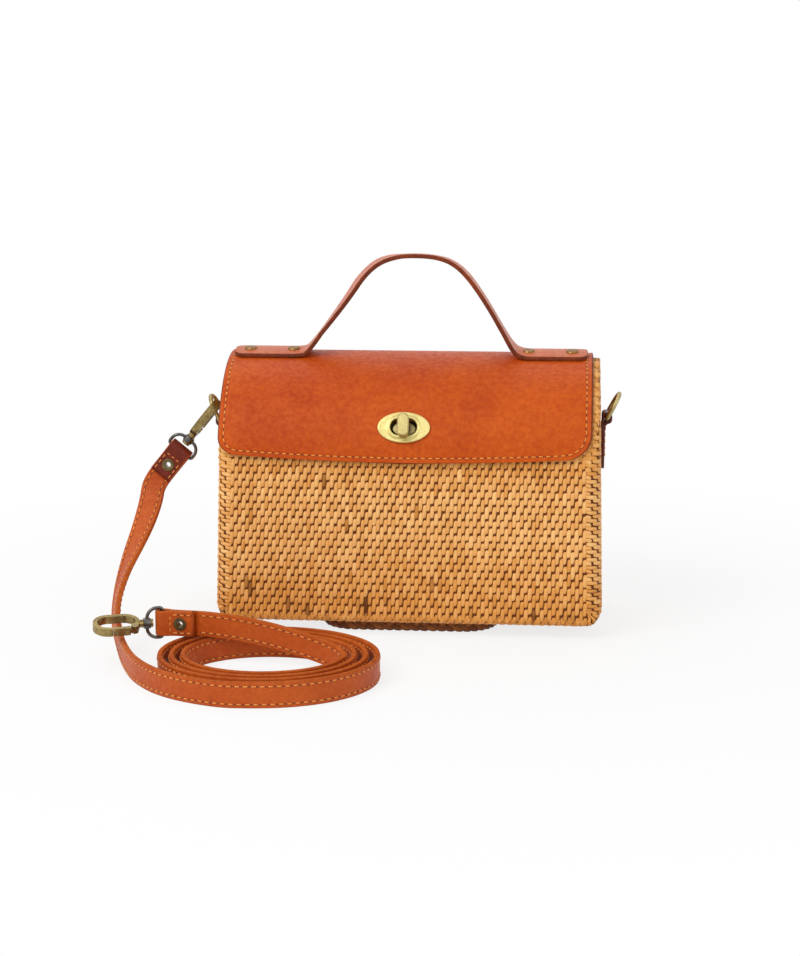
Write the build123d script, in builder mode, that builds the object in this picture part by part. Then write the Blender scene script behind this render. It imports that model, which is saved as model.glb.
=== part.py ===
import math
import os
from build123d import *

# Basket: a woven box with a leaning front, an upright back and an arched shoulder
basket_width = 200.0
side_lean = 3.0
front_y = -39.5
back_y = 40.5
foot_height = 7.0
wall = 5.0
course = 3.8
ridge = 0.6
crest_share = 0.25
lower_corner_radius = 9.0
upright_corner_radius = 8.0
base_edge_radius = 4.0
cut_margin = 0.1
arch_radius = 53.3
arch_y = 17.0
arch_z = 85.0
front_arch_angle = 175.0
rim_angle = 135.0
clear_margin = 30.0

# Foot: a plaited oval ring under the base
foot_length = 92.0
foot_depth = 60.0
foot_band = 8.0
foot_corner_radius = 18.0
foot_groove = 1.2

# Lid: one shaped leather flap, hinged along the top of the back
leather = 2.4
lid_gap = 0.3
lid_inset = 1.75
lid_x = -2.0
flap_low_z = 91.0
flap_bow = 3.4
flap_corner_radius = 11.0
hinge_strip_height = 32.0

# Carrying handle
handle_thickness = 2.2
handle_width = 18.0
handle_angle = 83.0
handle_tab_inset = 2.25
handle_tab_length = 38.0
handle_tab_round = 5.0
handle_foot_inset = 3.0
handle_shares = [-0.922, -0.603, -0.414, -0.207, 0.207, 0.448, 0.672, 0.905]
handle_rises = [2.4, 26.5, 43.2, 51.0, 51.6, 46.4, 29.0, 5.2]
handle_bend_share = 0.42
rivet_inner_inset = 7.0
rivet_outer_inset = 8.0
rivet_cap_radius = 3.4
rivet_cap_height = 0.8
rivet_cap_angle = 34.0
rivet_shank_radius = 1.3
rivet_back_radius = 3.2
rivet_back_height = 0.9

# Turn lock
lock_angle = 24.8
plate_length = 27.0
plate_height = 16.4
plate_sink = 0.6
plate_thickness = 1.3
plate_rim = 1.7
plate_rim_height = 2.3
hole_length = 13.6
hole_height = 8.4
backing_gap = 0.7
backing_thickness = 0.7
lock_gap = 0.4
base_length = 24.0
base_height = 13.0
base_thickness = 1.2
boss_radius = 3.2
boss_top = 1.5
stem_radius = 2.1
stem_fit = 0.15
knob_length = 12.2
knob_width = 6.0
knob_lift = 2.75
knob_top = 7.8
retainer_radius = 3.0
retainer_thickness = 0.9
retainer_pocket_radius = 3.5
washer_length = 20.0
washer_height = 10.0
washer_thickness = 0.8
prong_x = 7.0
prong_width = 3.0
prong_thickness = 0.8
prong_fit = 0.2
washer_gap = 0.27
recess_margin = 1.8

# Side tabs and rings
tab_inset = 2.5
tab_thickness = 2.9
tab_width = 11.0
tab_low_z = 83.0
ring_stand = 3.9
ring_bar_z = 110.0
ring_mid_y = 1.5
ring_wire = 1.15
ring_half_width = 8.2
ring_leg = 5.4
ring_corner_radius = 2.0
ring_fit = 0.25
tab_eye_wall = 1.5
right_ring_angle = 28.0
left_ring_angle = 26.0
left_ring_drop = 4.0
seat_margin = 1.0

# Shoulder strap: a flat leather strap, from the left ring down into a coil on the floor.
# Its points run sideways from that ring's bar.
strap_width = 12.5
strap_thickness = 2.4
coil_from_ring = 39.8
coil_mid_y = -119.0
coil_half_length = 55.8
coil_half_depth = 50.5
coil_turn_in = 5.6
coil_turns = 3.2
coil_points_per_turn = 24
run_points = [(-36.6, -11.5, 64.0), (-38.6, -23.0, 53.0), (-41.6, -38.5, 42.0), (-44.1, -56.0, 30.5),
              (-43.6, -75.0, 18.5), (-37.6, -93.0, 9.2), (-30.6, -112.0, 6.25), (-20.1, -136.0, 6.25),
              (-2.6, -157.0, 6.25)]
run_faces = [(-0.1, -1.0, 0.1), (-0.3, -0.95, 0.1), (-0.45, -0.85, 0.1), (-0.65, -0.7, 0.1),
             (-0.85, -0.45, 0.1), (-0.93, -0.36, 0.0), (-0.9, -0.45, 0.0), (-0.8, -0.6, 0.0),
             (-0.6, -0.8, 0.0)]
end_points = [(70.4, -107.0, 8.6), (53.4, -101.5, 12.6), (34.4, -99.5, 17.0)]
end_faces = [(0.6, 0.75, 0.0), (0.3, 0.95, 0.0), (0.15, 0.98, 0.0)]
fold_straight = 7.0
run_straight = 16.0
turn_straight = 11.0
loose_straight = 14.0
strap_bend_share = 0.45
ribbon_stations = 48
fold_length = 16.0
fold_thickness = 4.6
eyelet_from_bar = 9.5
eyelet_outer_radius = 3.3
eyelet_bore_radius = 1.5
eyelet_hole_radius = 2.3
eyelet_flange = 0.5

# Strap clips: an oval spring hook that turns in the hub of a wire loop
hook_length = 23.0
hook_width = 15.0
hook_band = 4.0
hook_thickness = 2.2
hook_neck_radius = 2.0
hook_start = 3.0
stem_clip_radius = 1.3
stem_clip_fit = 0.2
stem_clip_end = 3.6
stem_head_radius = 2.1
stem_head_length = 1.0
hub_radius = 2.7
hub_front = 1.0
hub_back = 2.3
hub_gap = 0.3
loop_wire = 0.85
loop_half_width = 7.5
loop_front = 0.7
loop_bar = 8.4
loop_front_corner_radius = 5.0
loop_bar_corner_radius = 1.5
loop_bar_fit = 0.15
gate_pivot_x = 6.0
gate_pivot_y = 4.5
gate_nose_x = 16.6
gate_gap = 0.35
gate_eye_radius = 1.5
gate_eye_half = 1.0
gate_pin_radius = 0.6
gate_pin_fit = 0.1
cheek_gap = 0.3
upper_clip_offset = (-16.75, -6.81, -9.69)
upper_clip_axis = (0.6262, 0.0462, 0.7783)
upper_clip_side = (0.0137, 0.9974, -0.0703)
upper_loop_face = (0.0, -1.0, 0.07)
lower_loop_offset = (-15.1, -95.3, 19.9)
lower_clip_axis = (-0.94, -0.34, 0.0)
lower_clip_side = (0.33, -0.93, -0.25)
lower_fold_axis = (-0.99, 0.1, 0.0)

# Working values
basket_top_width = basket_width - 2 * side_lean
lid_width = basket_top_width - 2 * lid_inset
handle_tab_outer = lid_width / 2 - handle_tab_inset
handle_tab_inner = handle_tab_outer - handle_tab_length
handle_foot = handle_tab_inner + handle_foot_inset
rivet_inner = handle_tab_inner + rivet_inner_inset
rivet_outer = handle_tab_outer - rivet_outer_inset
tab_seat_x = basket_width / 2 - tab_inset
ring_bar_x = tab_seat_x + ring_stand
coil_mid_x = coil_from_ring - ring_bar_x
lid_inner_radius = arch_radius + lid_gap
lid_radius = lid_inner_radius + leather
front_arch_y = arch_y + arch_radius * math.cos(math.radians(front_arch_angle))
front_arch_z = arch_z + arch_radius * math.sin(math.radians(front_arch_angle))
back_arch_z = arch_z + math.sqrt(arch_radius**2 - (back_y - arch_y) ** 2)
back_arch_angle = math.degrees(math.acos((back_y - arch_y) / arch_radius))
lid_end_y = back_y + leather
lid_end_z = arch_z + math.sqrt(lid_inner_radius**2 - (back_y - arch_y) ** 2)
top_z = arch_z + lid_radius
mid_y = (front_y + back_y) / 2
strap_mid_z = strap_width / 2


def arch_plane(x, angle, radius):
    """Plane on the arched lid at an angle from the front, facing straight out."""
    turn = math.radians(angle)
    out = Vector(0, -math.cos(turn), math.sin(turn))
    return Plane(origin=Vector(x, arch_y, arch_z) + out * radius, x_dir=(1, 0, 0), z_dir=out)


def coursed(start, end, count, inset):
    """Points of a row of rounded courses from one point of the profile to another."""
    first, last = Vector(*start), Vector(*end)
    step = (last - first) / count
    points = []
    for k in range(count):
        low = first + step * k
        points += [low + inset if k else low, low + step * crest_share, low + step * (1 - crest_share)]
    return points + [last]


def ribbon_planes(wire, faces, stations):
    """Section planes along a strap, its width set square to the facing direction."""
    planes = []
    for k in range(stations + 1):
        at = k / stations
        place = at * (len(faces) - 1)
        low = min(int(place), len(faces) - 2)
        face = Vector(*faces[low]) * (low + 1 - place) + Vector(*faces[low + 1]) * (place - low)
        tangent = wire.tangent_at(at)
        across = tangent.cross(face).normalized()
        planes.append(Plane(origin=wire.position_at(at), x_dir=across, z_dir=tangent))
    return planes


def bend_radii(points, share):
    """Largest even bends that the runs beside each point have room for."""
    radii = []
    for before, here, after in zip(points, points[1:], points[2:]):
        coming, going = Vector(*here) - Vector(*before), Vector(*after) - Vector(*here)
        half_turn = math.radians(coming.get_angle(going)) / 2
        radii.append(share * min(coming.length, going.length) / math.tan(half_turn))
    return radii


front_courses = round((front_arch_z - foot_height - base_edge_radius) / course)
back_courses = round((back_arch_z - foot_height - base_edge_radius) / course)
side_courses = round((back_y - front_y - 2 * upright_corner_radius) / course)
inward_front, inward_back = Vector(ridge, 0), Vector(-ridge, 0)
front_lean = (front_arch_y - front_y) / (front_arch_z - foot_height)
front_base = (front_y + front_lean * base_edge_radius, foot_height + base_edge_radius)
back_base = (back_y, foot_height + base_edge_radius)
edge_middle = base_edge_radius * (1 - math.cos(math.radians(45)))
front_points = coursed(front_base, (front_arch_y, front_arch_z), front_courses, inward_front)
back_points = coursed((back_y, back_arch_z), back_base, back_courses, inward_back)
lean = Vector(side_lean, 0, top_z - foot_height)
lock_plane = arch_plane(lid_x, lock_angle, lid_radius)
recess_depth = lock_plane.offset(-leather - backing_gap - backing_thickness - lock_gap - base_thickness)
base_top = -leather - backing_gap - backing_thickness - lock_gap
washer_low = -leather - lid_gap - wall - washer_gap - washer_thickness

# Basket body
with BuildPart() as basket_body:
    with BuildSketch(Plane.YZ):
        with BuildLine():
            Polyline(*front_points)
            CenterArc((arch_y, arch_z), arch_radius, back_arch_angle, front_arch_angle - back_arch_angle)
            Polyline(*back_points)
            ThreePointArc(back_base, (back_y - edge_middle, foot_height + edge_middle),
                          (back_y - base_edge_radius, foot_height))
            Line((back_y - base_edge_radius, foot_height), (front_y + base_edge_radius, foot_height))
            ThreePointArc((front_y + base_edge_radius, foot_height),
                          (front_y + edge_middle, foot_height + edge_middle), front_base)
        make_face()
    extrude(amount=basket_width, both=True)
    with BuildSketch(Plane.XZ.offset(-back_y - clear_margin)) as front_view:
        with BuildLine():
            outer, upper = basket_width / 2 + cut_margin, basket_top_width / 2 + cut_margin
            Polyline((-outer, foot_height), (outer, foot_height), (upper, top_z), (-upper, top_z),
                     close=True)
        make_face()
        fillet(front_view.vertices().sort_by(Axis.Z)[:2], radius=lower_corner_radius)
    extrude(amount=back_y - front_y + 2 * clear_margin, mode=Mode.INTERSECT)
    for height, width in ((foot_height, basket_width), (top_z, basket_top_width)):
        plan_front = front_y + front_lean * (height - foot_height) - cut_margin
        plan_back = back_y + cut_margin
        with BuildSketch(Plane.XY.offset(height)):
            with Locations((0, (plan_front + plan_back) / 2)):
                RectangleRounded(width, plan_back - plan_front, upright_corner_radius)
    loft(mode=Mode.INTERSECT)
    for side in (-1, 1):
        with BuildSketch(Plane.XY.offset(foot_height)) as side_grooves:
            with BuildLine():
                Polyline((side * basket_width / 2, -course * crest_share),
                         (side * (basket_width / 2 - ridge), 0),
                         (side * basket_width / 2, course * crest_share),
                         (side * (basket_width / 2 + ridge), 0), close=True)
            groove = make_face(mode=Mode.PRIVATE)
            with GridLocations(course, course, 1, side_courses):
                with Locations((0, mid_y)):
                    add(groove)
        extrude(amount=lean.length, dir=Vector(-side * lean.X, 0, lean.Z), mode=Mode.SUBTRACT)
    with BuildSketch(Plane.YZ):
        inner_radius = arch_radius - wall
        rim = math.radians(rim_angle)
        start = math.radians(front_arch_angle)
        far = arch_radius + clear_margin
        rim_in = (arch_y + inner_radius * math.cos(rim), arch_z + inner_radius * math.sin(rim))
        rim_out = (arch_y + far * math.cos(rim), arch_z + far * math.sin(rim))
        front_in = (arch_y + inner_radius * math.cos(start), arch_z + inner_radius * math.sin(start))
        with BuildLine():
            CenterArc((arch_y, arch_z), inner_radius, rim_angle, front_arch_angle - rim_angle)
            Polyline(front_in, (front_y + wall, foot_height + wall), (back_y - wall, foot_height + wall),
                     (back_y - wall, arch_z + far), (rim_out[0], arch_z + far), rim_out, rim_in)
        make_face()
    extrude(amount=basket_top_width / 2 - wall, both=True, mode=Mode.SUBTRACT)
    for side, drop in ((-1, left_ring_drop), (1, 0)):
        with Locations((side * (tab_seat_x + clear_margin / 2), ring_mid_y, ring_bar_z - drop)):
            Box(clear_margin, tab_width + 2 * seat_margin, 2 * (ring_bar_z - tab_low_z + seat_margin),
                mode=Mode.SUBTRACT)
    with BuildSketch(recess_depth):
        Ellipse(plate_length / 2 + recess_margin, plate_height / 2 + recess_margin)
    extrude(amount=clear_margin, mode=Mode.SUBTRACT)
    with BuildSketch(recess_depth):
        Circle(retainer_pocket_radius)
        with Locations((-prong_x, 0), (prong_x, 0)):
            Rectangle(prong_thickness + 2 * prong_fit, prong_width + 2 * prong_fit)
    extrude(amount=-wall, mode=Mode.SUBTRACT)

# Foot ring
with BuildPart() as foot_ring:
    with BuildSketch(Plane.XY):
        with Locations((0, mid_y)):
            RectangleRounded(foot_length, foot_depth, foot_corner_radius)
            RectangleRounded(foot_length - 2 * foot_band, foot_depth - 2 * foot_band,
                             foot_corner_radius - foot_band, mode=Mode.SUBTRACT)
    extrude(amount=foot_height)
    chamfer(foot_ring.faces().sort_by(Axis.Z)[0].edges(), length=foot_groove)
    with BuildSketch(Plane.XY.offset(foot_height / 2 - foot_groove / 2)):
        with Locations((0, mid_y)):
            RectangleRounded(foot_length + 2 * foot_band, foot_depth + 2 * foot_band,
                             foot_corner_radius + foot_band)
            RectangleRounded(foot_length - 2 * foot_groove, foot_depth - 2 * foot_groove,
                             foot_corner_radius - foot_groove, mode=Mode.SUBTRACT)
    extrude(amount=foot_groove, mode=Mode.SUBTRACT)

# Lid flap
with BuildPart() as lid_flap:
    with BuildSketch(Plane.YZ.offset(lid_x)):
        with BuildLine():
            CenterArc((arch_y, arch_z), lid_radius, 0, 180)
            Line((arch_y - lid_radius, arch_z), (arch_y + lid_radius, arch_z))
        make_face()
        with Locations((arch_y, arch_z)):
            Circle(lid_inner_radius, mode=Mode.SUBTRACT)
        with Locations((lid_end_y + clear_margin, arch_z)):
            Rectangle(2 * clear_margin, 2 * lid_radius + clear_margin, mode=Mode.SUBTRACT)
        with Locations((arch_y + lid_radius / 2, lid_end_z)):
            Rectangle(lid_radius, lid_radius, align=(Align.CENTER, Align.MAX), mode=Mode.SUBTRACT)
    extrude(amount=lid_width / 2, both=True)
    with BuildSketch(Plane.XZ.offset(-back_y - clear_margin)) as flap_view:
        with BuildLine():
            ThreePointArc((lid_x - lid_width / 2, flap_low_z + flap_bow), (lid_x, flap_low_z),
                          (lid_x + lid_width / 2, flap_low_z + flap_bow))
            Polyline((lid_x + lid_width / 2, flap_low_z + flap_bow),
                     (lid_x + lid_width / 2, top_z + clear_margin),
                     (lid_x - lid_width / 2, top_z + clear_margin),
                     (lid_x - lid_width / 2, flap_low_z + flap_bow))
        make_face()
        fillet(flap_view.vertices().sort_by(Axis.Z)[:2], radius=flap_corner_radius)
    extrude(amount=back_y - front_y + 2 * clear_margin, mode=Mode.INTERSECT)
    with BuildSketch(lock_plane.offset(-plate_sink)):
        Ellipse(plate_length / 2, plate_height / 2)
    extrude(amount=clear_margin, mode=Mode.SUBTRACT)
    with BuildSketch(lock_plane):
        SlotOverall(hole_length, hole_height)
    extrude(amount=-2 * leather, mode=Mode.SUBTRACT)
    for x in (-rivet_outer, -rivet_inner, rivet_inner, rivet_outer):
        with BuildSketch(arch_plane(lid_x + x, handle_angle, lid_radius)):
            Circle(rivet_shank_radius)
        extrude(amount=-2 * leather, mode=Mode.SUBTRACT)

# Hinge strip
with BuildPart() as hinge_strip:
    with Locations((lid_x, back_y, back_arch_z)):
        Box(lid_width, leather, hinge_strip_height, align=(Align.CENTER, Align.MIN, Align.MAX))

# Carrying handle
handle_y = arch_y - lid_radius * math.cos(math.radians(handle_angle))
tab_mid = (handle_tab_inner + handle_tab_outer) / 2
foot_z = top_z + handle_thickness / 2 - cut_margin
handle_line = [(lid_x + share * handle_foot, top_z + rise)
               for share, rise in zip(handle_shares, handle_rises)]
handle_route = [(lid_x - handle_foot, foot_z), *handle_line, (lid_x + handle_foot, foot_z)]
with BuildPart() as carry_handle:
    with BuildSketch(Plane.YZ.offset(lid_x)):
        with Locations((arch_y, arch_z)):
            Circle(lid_radius + handle_thickness)
            Circle(lid_radius, mode=Mode.SUBTRACT)
    extrude(amount=handle_tab_outer, both=True)
    with BuildSketch(Plane.XY.offset(arch_z)):
        for side in (-1, 1):
            with Locations((lid_x + side * tab_mid, handle_y)):
                RectangleRounded(handle_tab_outer - handle_tab_inner, handle_width, handle_tab_round)
    extrude(amount=2 * lid_radius, mode=Mode.INTERSECT)
    with BuildSketch(Plane.XZ.offset(-handle_y - handle_width / 2)) as arch_band:
        with BuildLine() as arch_line:
            FilletPolyline(*handle_route, radius=bend_radii(handle_route, handle_bend_share))
        trace(arch_line.line, line_width=handle_thickness)
    extrude(amount=handle_width)
    with BuildSketch(Plane.YZ.offset(lid_x)):
        with Locations((arch_y, arch_z)):
            Circle(lid_radius)
    extrude(amount=basket_width, both=True, mode=Mode.SUBTRACT)
    for x in (-rivet_outer, -rivet_inner, rivet_inner, rivet_outer):
        with BuildSketch(arch_plane(lid_x + x, handle_angle, lid_radius + handle_thickness)):
            Circle(rivet_cap_radius)
        extrude(amount=handle_thickness, mode=Mode.SUBTRACT)
        with BuildSketch(arch_plane(lid_x + x, handle_angle, lid_inner_radius)):
            Circle(rivet_shank_radius)
        extrude(amount=leather + 2 * handle_thickness, mode=Mode.SUBTRACT)

# Handle rivets and their backs
with BuildPart() as handle_rivets:
    for x in (-rivet_outer, -rivet_inner, rivet_inner, rivet_outer):
        with BuildSketch(arch_plane(lid_x + x, handle_angle, lid_radius + handle_thickness)):
            Circle(rivet_cap_radius)
        extrude(amount=rivet_cap_height, taper=rivet_cap_angle)
        with BuildSketch(arch_plane(lid_x + x, handle_angle, lid_radius + handle_thickness)):
            Circle(rivet_shank_radius)
        extrude(amount=-leather - handle_thickness - rivet_back_height)
with BuildPart() as handle_rivet_backs:
    for x in (-rivet_outer, -rivet_inner, rivet_inner, rivet_outer):
        with BuildSketch(arch_plane(lid_x + x, handle_angle, lid_inner_radius - rivet_back_height)):
            Circle(rivet_back_radius)
            Circle(rivet_shank_radius, mode=Mode.SUBTRACT)
        extrude(amount=rivet_back_height)
    with BuildSketch(Plane.YZ.offset(lid_x)):
        with Locations((arch_y, arch_z)):
            Circle(lid_inner_radius + clear_margin)
            Circle(lid_inner_radius, mode=Mode.SUBTRACT)
    extrude(amount=basket_width, both=True, mode=Mode.SUBTRACT)

# Turn lock: plate on the flap, plate behind it, base on the basket, washer inside, knob
with BuildPart() as lock_plate:
    with BuildSketch(lock_plane.offset(-plate_sink)):
        Ellipse(plate_length / 2, plate_height / 2)
        SlotOverall(hole_length, hole_height, mode=Mode.SUBTRACT)
    extrude(amount=plate_sink + plate_thickness)
    with BuildSketch(lock_plane):
        SlotOverall(hole_length + 2 * plate_rim, hole_height + 2 * plate_rim)
        SlotOverall(hole_length, hole_height, mode=Mode.SUBTRACT)
    extrude(amount=plate_rim_height)
with BuildPart() as lock_backing:
    with BuildSketch(lock_plane.offset(-leather - backing_gap - backing_thickness)):
        Ellipse(plate_length / 2, plate_height / 2)
        SlotOverall(hole_length, hole_height, mode=Mode.SUBTRACT)
    extrude(amount=backing_thickness)
with BuildPart() as lock_base:
    with BuildSketch(lock_plane.offset(base_top - base_thickness)):
        SlotOverall(base_length, base_height)
    extrude(amount=base_thickness)
    with BuildSketch(lock_plane.offset(base_top)):
        Circle(boss_radius)
    extrude(amount=boss_top - base_top)
    with BuildSketch(lock_plane.offset(boss_top)):
        Circle(stem_radius + stem_fit)
    extrude(amount=-clear_margin, mode=Mode.SUBTRACT)
    with BuildSketch(lock_plane.offset(washer_low)):
        with Locations((-prong_x, 0), (prong_x, 0)):
            Rectangle(prong_thickness, prong_width)
    extrude(amount=base_top - base_thickness - washer_low)
with BuildPart() as lock_washer:
    with BuildSketch(lock_plane.offset(washer_low)):
        SlotOverall(washer_length, washer_height)
        with Locations((-prong_x, 0), (prong_x, 0)):
            Rectangle(prong_thickness, prong_width, mode=Mode.SUBTRACT)
    extrude(amount=washer_thickness)
with BuildPart() as turn_knob:
    with BuildSketch(lock_plane.offset(knob_lift)):
        SlotOverall(knob_length, knob_width, rotation=90)
    extrude(amount=knob_top - knob_lift)
    chamfer(turn_knob.faces().sort_by(Axis(lock_plane.origin, lock_plane.z_dir))[-1].edges(), length=ridge)
    with BuildSketch(lock_plane.offset(knob_lift)):
        Circle(stem_radius)
    extrude(amount=base_top - base_thickness - lock_gap - retainer_thickness - knob_lift)
with BuildPart() as knob_retainer:
    with BuildSketch(lock_plane.offset(base_top - base_thickness - lock_gap - retainer_thickness)):
        Circle(retainer_radius)
        Circle(stem_radius, mode=Mode.SUBTRACT)
    extrude(amount=retainer_thickness)


def side_tab(side, drop):
    """Leather tab on one side of the basket, folded round the bar of its ring."""
    with BuildPart() as tab:
        with BuildSketch(Plane.XZ.offset(-ring_mid_y - tab_width / 2)):
            with Locations((side * (tab_seat_x + tab_thickness / 2), tab_low_z - drop)):
                Rectangle(tab_thickness, ring_bar_z - tab_low_z, align=(Align.CENTER, Align.MIN))
            with Locations((side * ring_bar_x, ring_bar_z - drop)):
                Circle(ring_wire + ring_fit + tab_eye_wall)
                Circle(ring_wire + ring_fit, mode=Mode.SUBTRACT)
        extrude(amount=tab_width)
    return tab


def side_ring(side, lean_angle, drop):
    """Wire ring with a straight bar, leaning outward from one side of the basket."""
    turn = math.radians(lean_angle)
    up = Vector(side * math.sin(turn), 0, math.cos(turn))
    bar = (side * ring_bar_x, ring_mid_y, ring_bar_z - drop)
    plane = Plane(origin=bar, x_dir=up, z_dir=up.cross(Vector(0, 1, 0)))
    with BuildPart() as ring:
        with BuildLine(plane):
            FilletPolyline((ring_leg, ring_half_width), (0, ring_half_width), (0, -ring_half_width),
                           (ring_leg, -ring_half_width), radius=ring_corner_radius)
            ThreePointArc((ring_leg, -ring_half_width), (ring_leg + ring_half_width, 0),
                          (ring_leg, ring_half_width))
        with BuildSketch(Plane(origin=plane.from_local_coords(Vector(0, 0, 0)), z_dir=(0, 1, 0))):
            Circle(ring_wire)
        sweep()
    return ring


left_tab, right_tab = side_tab(-1, left_ring_drop), side_tab(1, 0)
left_ring, right_ring = side_ring(-1, left_ring_angle, left_ring_drop), side_ring(1, right_ring_angle, 0)


def oval_band():
    """Outline of the hook's oval band, drawn in the sketch at hand."""
    with Locations((hook_start + hook_length / 2, 0)):
        SlotOverall(hook_length, hook_width)
        SlotOverall(hook_length - 2 * hook_thickness, hook_width - 2 * hook_thickness,
                    mode=Mode.SUBTRACT)


def clip_hook(plane):
    """Oval spring hook: band, neck, swivel stem with its head, and cheeks for the gate."""
    half = hook_band / 2
    with BuildPart() as hook:
        with BuildSketch(plane.offset(-half)):
            oval_band()
            with Locations((gate_pivot_x, 0)):
                Rectangle(gate_nose_x - gate_pivot_x + gate_gap, hook_width, align=(Align.MIN, Align.MIN),
                          mode=Mode.SUBTRACT)
            with Locations((gate_pivot_x, gate_pivot_y)):
                Circle(gate_eye_radius + gate_gap, mode=Mode.SUBTRACT)
        extrude(amount=hook_band)
        for low in (-half, gate_eye_half + cheek_gap):
            with BuildSketch(plane.offset(low)):
                with Locations((gate_pivot_x, gate_pivot_y)):
                    Circle(gate_eye_radius + gate_gap)
                    Circle(gate_pin_radius, mode=Mode.SUBTRACT)
            extrude(amount=half - gate_eye_half - cheek_gap)
        across = Plane(origin=plane.origin, x_dir=plane.y_dir, z_dir=plane.x_dir)
        with BuildSketch(across.offset(hub_front + hub_gap)):
            Circle(hook_neck_radius)
        extrude(amount=hook_start + hook_thickness / 2 - hub_front - hub_gap)
        with BuildSketch(across.offset(-stem_clip_end)):
            Circle(stem_clip_radius)
        extrude(amount=stem_clip_end + hook_start)
        with BuildSketch(across.offset(-hub_back - hub_gap - stem_head_length)):
            Circle(stem_head_radius)
        extrude(amount=stem_head_length)
    return hook


def clip_gate(plane):
    """Gate of the hook: a length of the band with a thin eye on the pin."""
    half = hook_band / 2
    with BuildPart() as gate:
        with BuildSketch(plane.offset(-half)):
            oval_band()
            with Locations((gate_pivot_x + gate_eye_radius + 2 * gate_gap, 0)):
                Rectangle(gate_nose_x - gate_pivot_x - gate_eye_radius - 2 * gate_gap, hook_width,
                          align=(Align.MIN, Align.MIN), mode=Mode.INTERSECT)
        extrude(amount=hook_band)
        with BuildSketch(plane.offset(-gate_eye_half)):
            oval_band()
            with Locations((gate_pivot_x, 0)):
                Rectangle(gate_nose_x - gate_pivot_x, hook_width, align=(Align.MIN, Align.MIN),
                          mode=Mode.INTERSECT)
            with Locations((gate_pivot_x, gate_pivot_y)):
                Circle(gate_eye_radius)
                Circle(gate_pin_radius + gate_pin_fit, mode=Mode.SUBTRACT)
        extrude(amount=2 * gate_eye_half)
    return gate


def clip_pin(plane):
    """Pin of the gate, through both cheeks."""
    with BuildPart() as pin:
        with BuildSketch(plane.offset(-hook_band / 2)):
            with Locations((gate_pivot_x, gate_pivot_y)):
                Circle(gate_pin_radius)
        extrude(amount=hook_band)
    return pin


def clip_loop(plane):
    """Wire loop with the hub that the hook turns in and the bar that holds the strap."""
    with BuildPart() as loop:
        with BuildLine(plane):
            FilletPolyline((-loop_bar, -loop_half_width), (-loop_bar, loop_half_width),
                           (-loop_front, loop_half_width), (-loop_front, -loop_half_width), close=True,
                           radius=[loop_bar_corner_radius, loop_bar_corner_radius,
                                   loop_front_corner_radius, loop_front_corner_radius])
        with BuildSketch(Plane(origin=plane.from_local_coords(Vector(-loop_bar, 0, 0)), z_dir=plane.y_dir)):
            Circle(loop_wire)
        sweep()
        across = Plane(origin=plane.origin, x_dir=plane.y_dir, z_dir=plane.x_dir)
        with BuildSketch(across.offset(-hub_back)):
            Circle(hub_radius)
        extrude(amount=hub_back + hub_front)
        with BuildSketch(across.offset(-hub_back)):
            Circle(stem_clip_radius + stem_clip_fit)
        extrude(amount=hub_back + hub_front, mode=Mode.SUBTRACT)
    return loop


def strap_fold(plane):
    """End of the strap, doubled round the bar of a loop, with a hole for its eyelet."""
    with BuildPart() as fold:
        side = Plane(origin=plane.origin, x_dir=plane.x_dir, z_dir=plane.y_dir)
        with BuildSketch(side.offset(-strap_width / 2)):
            Rectangle(fold_length, fold_thickness, align=(Align.MAX, Align.CENTER))
            Circle(loop_wire + loop_bar_fit + strap_thickness)
            Circle(loop_wire + loop_bar_fit, mode=Mode.SUBTRACT)
        extrude(amount=strap_width)
        with BuildSketch(plane.offset(-fold_thickness)):
            with Locations((-eyelet_from_bar, 0)):
                Circle(eyelet_hole_radius)
        extrude(amount=2 * fold_thickness, mode=Mode.SUBTRACT)
    return fold


def strap_eyelet(plane):
    """Brass eyelet through the doubled end of the strap."""
    half = fold_thickness / 2
    with BuildPart() as eyelet:
        with BuildSketch(plane.offset(-half)):
            with Locations((-eyelet_from_bar, 0)):
                Circle(eyelet_hole_radius)
        extrude(amount=fold_thickness)
        for low in (-half - eyelet_flange, half):
            with BuildSketch(plane.offset(low)):
                with Locations((-eyelet_from_bar, 0)):
                    Circle(eyelet_outer_radius)
            extrude(amount=eyelet_flange)
        with BuildSketch(plane.offset(-fold_thickness)):
            with Locations((-eyelet_from_bar, 0)):
                Circle(eyelet_bore_radius)
        extrude(amount=2 * fold_thickness, mode=Mode.SUBTRACT)
    return eyelet


def square_plane(origin, along, side):
    """Plane with its first axis along one direction and its second as near as can be to another."""
    first = Vector(*along).normalized()
    second = Vector(*side)
    return Plane(origin=origin, x_dir=first, z_dir=first.cross(second).normalized())


ring_side = Vector(-ring_bar_x, 0, 0)
upper_hub = Vector(-ring_bar_x, ring_mid_y, ring_bar_z - left_ring_drop) + Vector(*upper_clip_offset)
upper_axis = Vector(*upper_clip_axis).normalized()
upper_hook_plane = square_plane(upper_hub, upper_clip_axis, upper_clip_side)
upper_loop_plane = square_plane(upper_hub, upper_clip_axis, Vector(*upper_loop_face).cross(upper_axis))
upper_fold_plane = Plane(origin=upper_hub - upper_axis * loop_bar, x_dir=upper_loop_plane.x_dir,
                         z_dir=upper_loop_plane.z_dir)
lower_axis = Vector(*lower_clip_axis).normalized()
lower_bar = ring_side + Vector(*lower_loop_offset)
lower_hub = lower_bar + lower_axis * loop_bar
lower_hook_plane = square_plane(lower_hub, lower_clip_axis, lower_clip_side)
lower_loop_plane = square_plane(lower_hub, lower_clip_axis, (0, 0, 1))
lower_fold_plane = square_plane(lower_bar, lower_fold_axis, lower_loop_plane.y_dir)
upper_hook, lower_hook = clip_hook(upper_hook_plane), clip_hook(lower_hook_plane)
upper_gate, lower_gate = clip_gate(upper_hook_plane), clip_gate(lower_hook_plane)
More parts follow.
